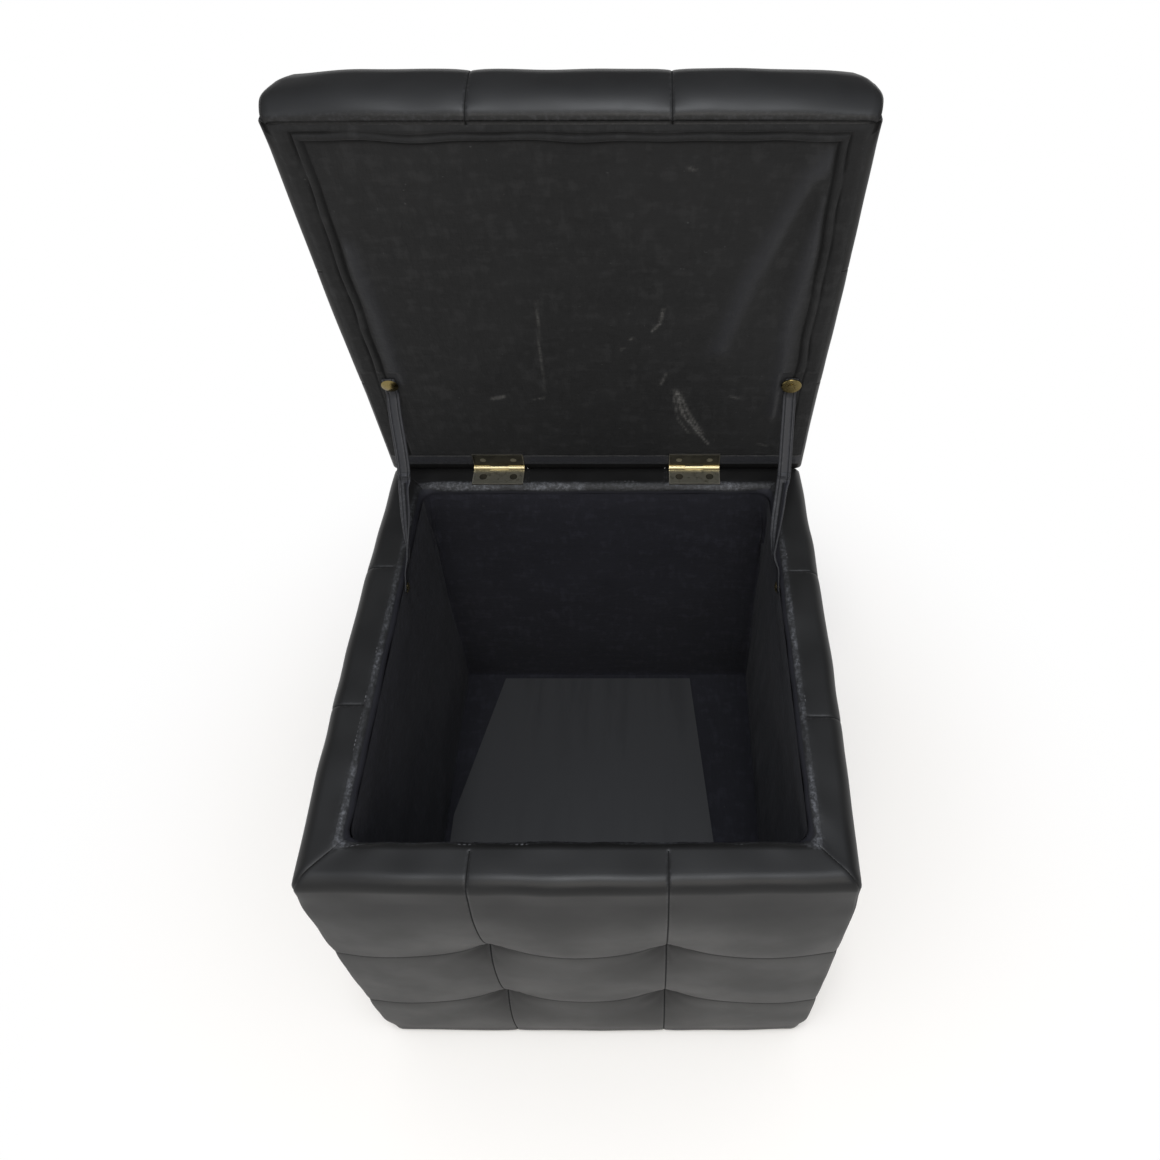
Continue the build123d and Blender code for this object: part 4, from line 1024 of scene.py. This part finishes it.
FINISH = {
    BOX_LEAF: ("left_hinge_box_leaf", "right_hinge_box_leaf"),
    LID_LEAF_SHADED: ("left_hinge_lid_leaf", "right_hinge_lid_leaf"),
    PIN_BRASS: ("left_hinge_pin", "right_hinge_pin"),
    SCREW: ("box_leaf_screws", "lid_leaf_screws"),
    TACK: ("left_lid_tack", "right_lid_tack"),
    BOX_TACK_GLINT: ("box_tacks",),
    FLOOR_BOARD: ("floor_board",),
    WOOD: ("front_panel", "back_panel", "left_panel", "right_panel", "bottom_panel", "bottom_cleats", "lid_board"),
    STEEL: ("panel_screws", "cover_staples", "lid_staples"),
}
for finish, names in FINISH.items():
    for name in names:
        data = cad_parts[name].data
        data.materials.clear()
        data.materials.append(finish)


# Floor, light and camera, in metres

GROUND_HALF, GROUND_LEVEL = 9, -0.0006
PALE_FLOOR = (0.92, 0.885, 0.835, 1)
WHITE_FROM, WHITE_TO = 0.36, 0.66  # distances over which the lit floor gives way to plain white
WALL_LOW, WALL_HIGH, CEILING = (1.0, 1.0, 1.0), (0.15, 0.15, 0.155), (0.74, 0.79, 0.88)


def floor_material():
    """Pale floor that keeps the shadow and is plain white further off, to the camera and in reflections."""
    material, tree, shader = shader_tree("pale_floor")
    shader.inputs["Base Color"].default_value = PALE_FLOOR
    shader.inputs["Roughness"].default_value = 0.9
    shader.inputs["Specular IOR Level"].default_value = 0.1
    away = node(tree, "VectorMath", {0: local(tree)}, out=1, operation="LENGTH")
    far = ramp(tree, away, WHITE_FROM, WHITE_TO)
    path = tree.nodes.new("ShaderNodeLightPath")
    seen = calc(tree, "MAXIMUM", path.outputs["Is Camera Ray"], path.outputs["Is Glossy Ray"])
    seen = calc(tree, "MAXIMUM", seen, path.outputs["Is Transmission Ray"])
    white = tree.nodes.new("ShaderNodeEmission")
    mix = tree.nodes.new("ShaderNodeMixShader")
    put(tree, mix.inputs[0], times(tree, far, seen))
    tree.links.new(shader.outputs[0], mix.inputs[1])
    tree.links.new(white.outputs[0], mix.inputs[2])
    tree.links.new(mix.outputs[0], tree.nodes["Material Output"].inputs[0])
    return material


def make_floor():
    corners = [(sx * GROUND_HALF, sy * GROUND_HALF, GROUND_LEVEL) for sx, sy in ((-1, -1), (1, -1), (1, 1), (-1, 1))]
    mesh = bpy.data.meshes.new("floor")
    mesh.from_pydata(corners, [], [(0, 1, 2, 3)])
    mesh.materials.append(floor_material())
    ground = bpy.data.objects.new("floor", mesh)
    scene.collection.objects.link(ground)


def make_world():
    """A room that is white near the floor, dim higher up, and has a pale ceiling that reaches down in front."""
    world = bpy.data.worlds.new("studio")
    scene.world = world
    world.use_nodes = True
    tree = world.node_tree
    upward = node(tree, "SeparateXYZ", {0: node(tree, "TexCoord")}, out=2)
    walls = mixed(tree, ramp(tree, upward, 0.12, 0.38), WALL_LOW, WALL_HIGH)
    lean = node(tree, "VectorMath", {0: node(tree, "TexCoord"), 1: (0, -0.3, 1)}, out=1, operation="DOT_PRODUCT")
    room = mixed(tree, ramp(tree, lean, 0.48, 0.84), walls, CEILING)
    put(tree, tree.nodes["Background"].inputs["Color"], room)


def lamp(name, place, aim, size, power, colour):
    data = bpy.data.lights.new(name, "AREA")
    data.shape = "DISK"
    data.size = size
    data.energy = power
    data.color = colour
    obj = bpy.data.objects.new(name, data)
    scene.collection.objects.link(obj)
    obj.location = place
    obj.rotation_euler = (Vector(aim) - Vector(place)).to_track_quat("-Z", "Y").to_euler()


def make_camera():
    """The photo's camera, as fitted to its points; the picture is square."""
    place = (0.0521, -0.4496, 1.0913)
    yaw, pitch, roll = radians(-0.17), radians(45.08), radians(-0.18)
    picture, focal, centre_x, centre_y = 1160, 954.2, 646.95, 428.8      # in pixels
    sensor = 36
    camera = bpy.data.objects.new("camera", bpy.data.cameras.new("camera"))
    scene.collection.objects.link(camera)
    scene.camera = camera
    ahead = Vector((sin(yaw) * cos(pitch), cos(yaw) * cos(pitch), -sin(pitch)))
    right = Vector((cos(yaw), -sin(yaw), 0))
    right = right * cos(roll) + right.cross(ahead) * sin(roll)
    up = right.cross(ahead)
    camera.matrix_world = Matrix.Translation(place) @ Matrix((right, up, -ahead)).transposed().to_4x4()
    camera.data.sensor_width = sensor
    camera.data.lens = focal / picture * sensor
    camera.data.shift_x = (picture / 2 - centre_x) / picture
    camera.data.shift_y = (centre_y - picture / 2) / picture
    camera.data.clip_start = 0.01


make_floor()
make_world()
lamp("key", (0.1, -1.7, 2.1), (0, 0, 0.4), 1.4, 19, (1.0, 0.94, 0.85))
lamp("top", (0.0, -0.8, 6.0), (0, 0, 0.4), 1.5, 160, (0.93, 0.96, 1.0))
make_camera()

scene.view_settings.view_transform = "Standard"
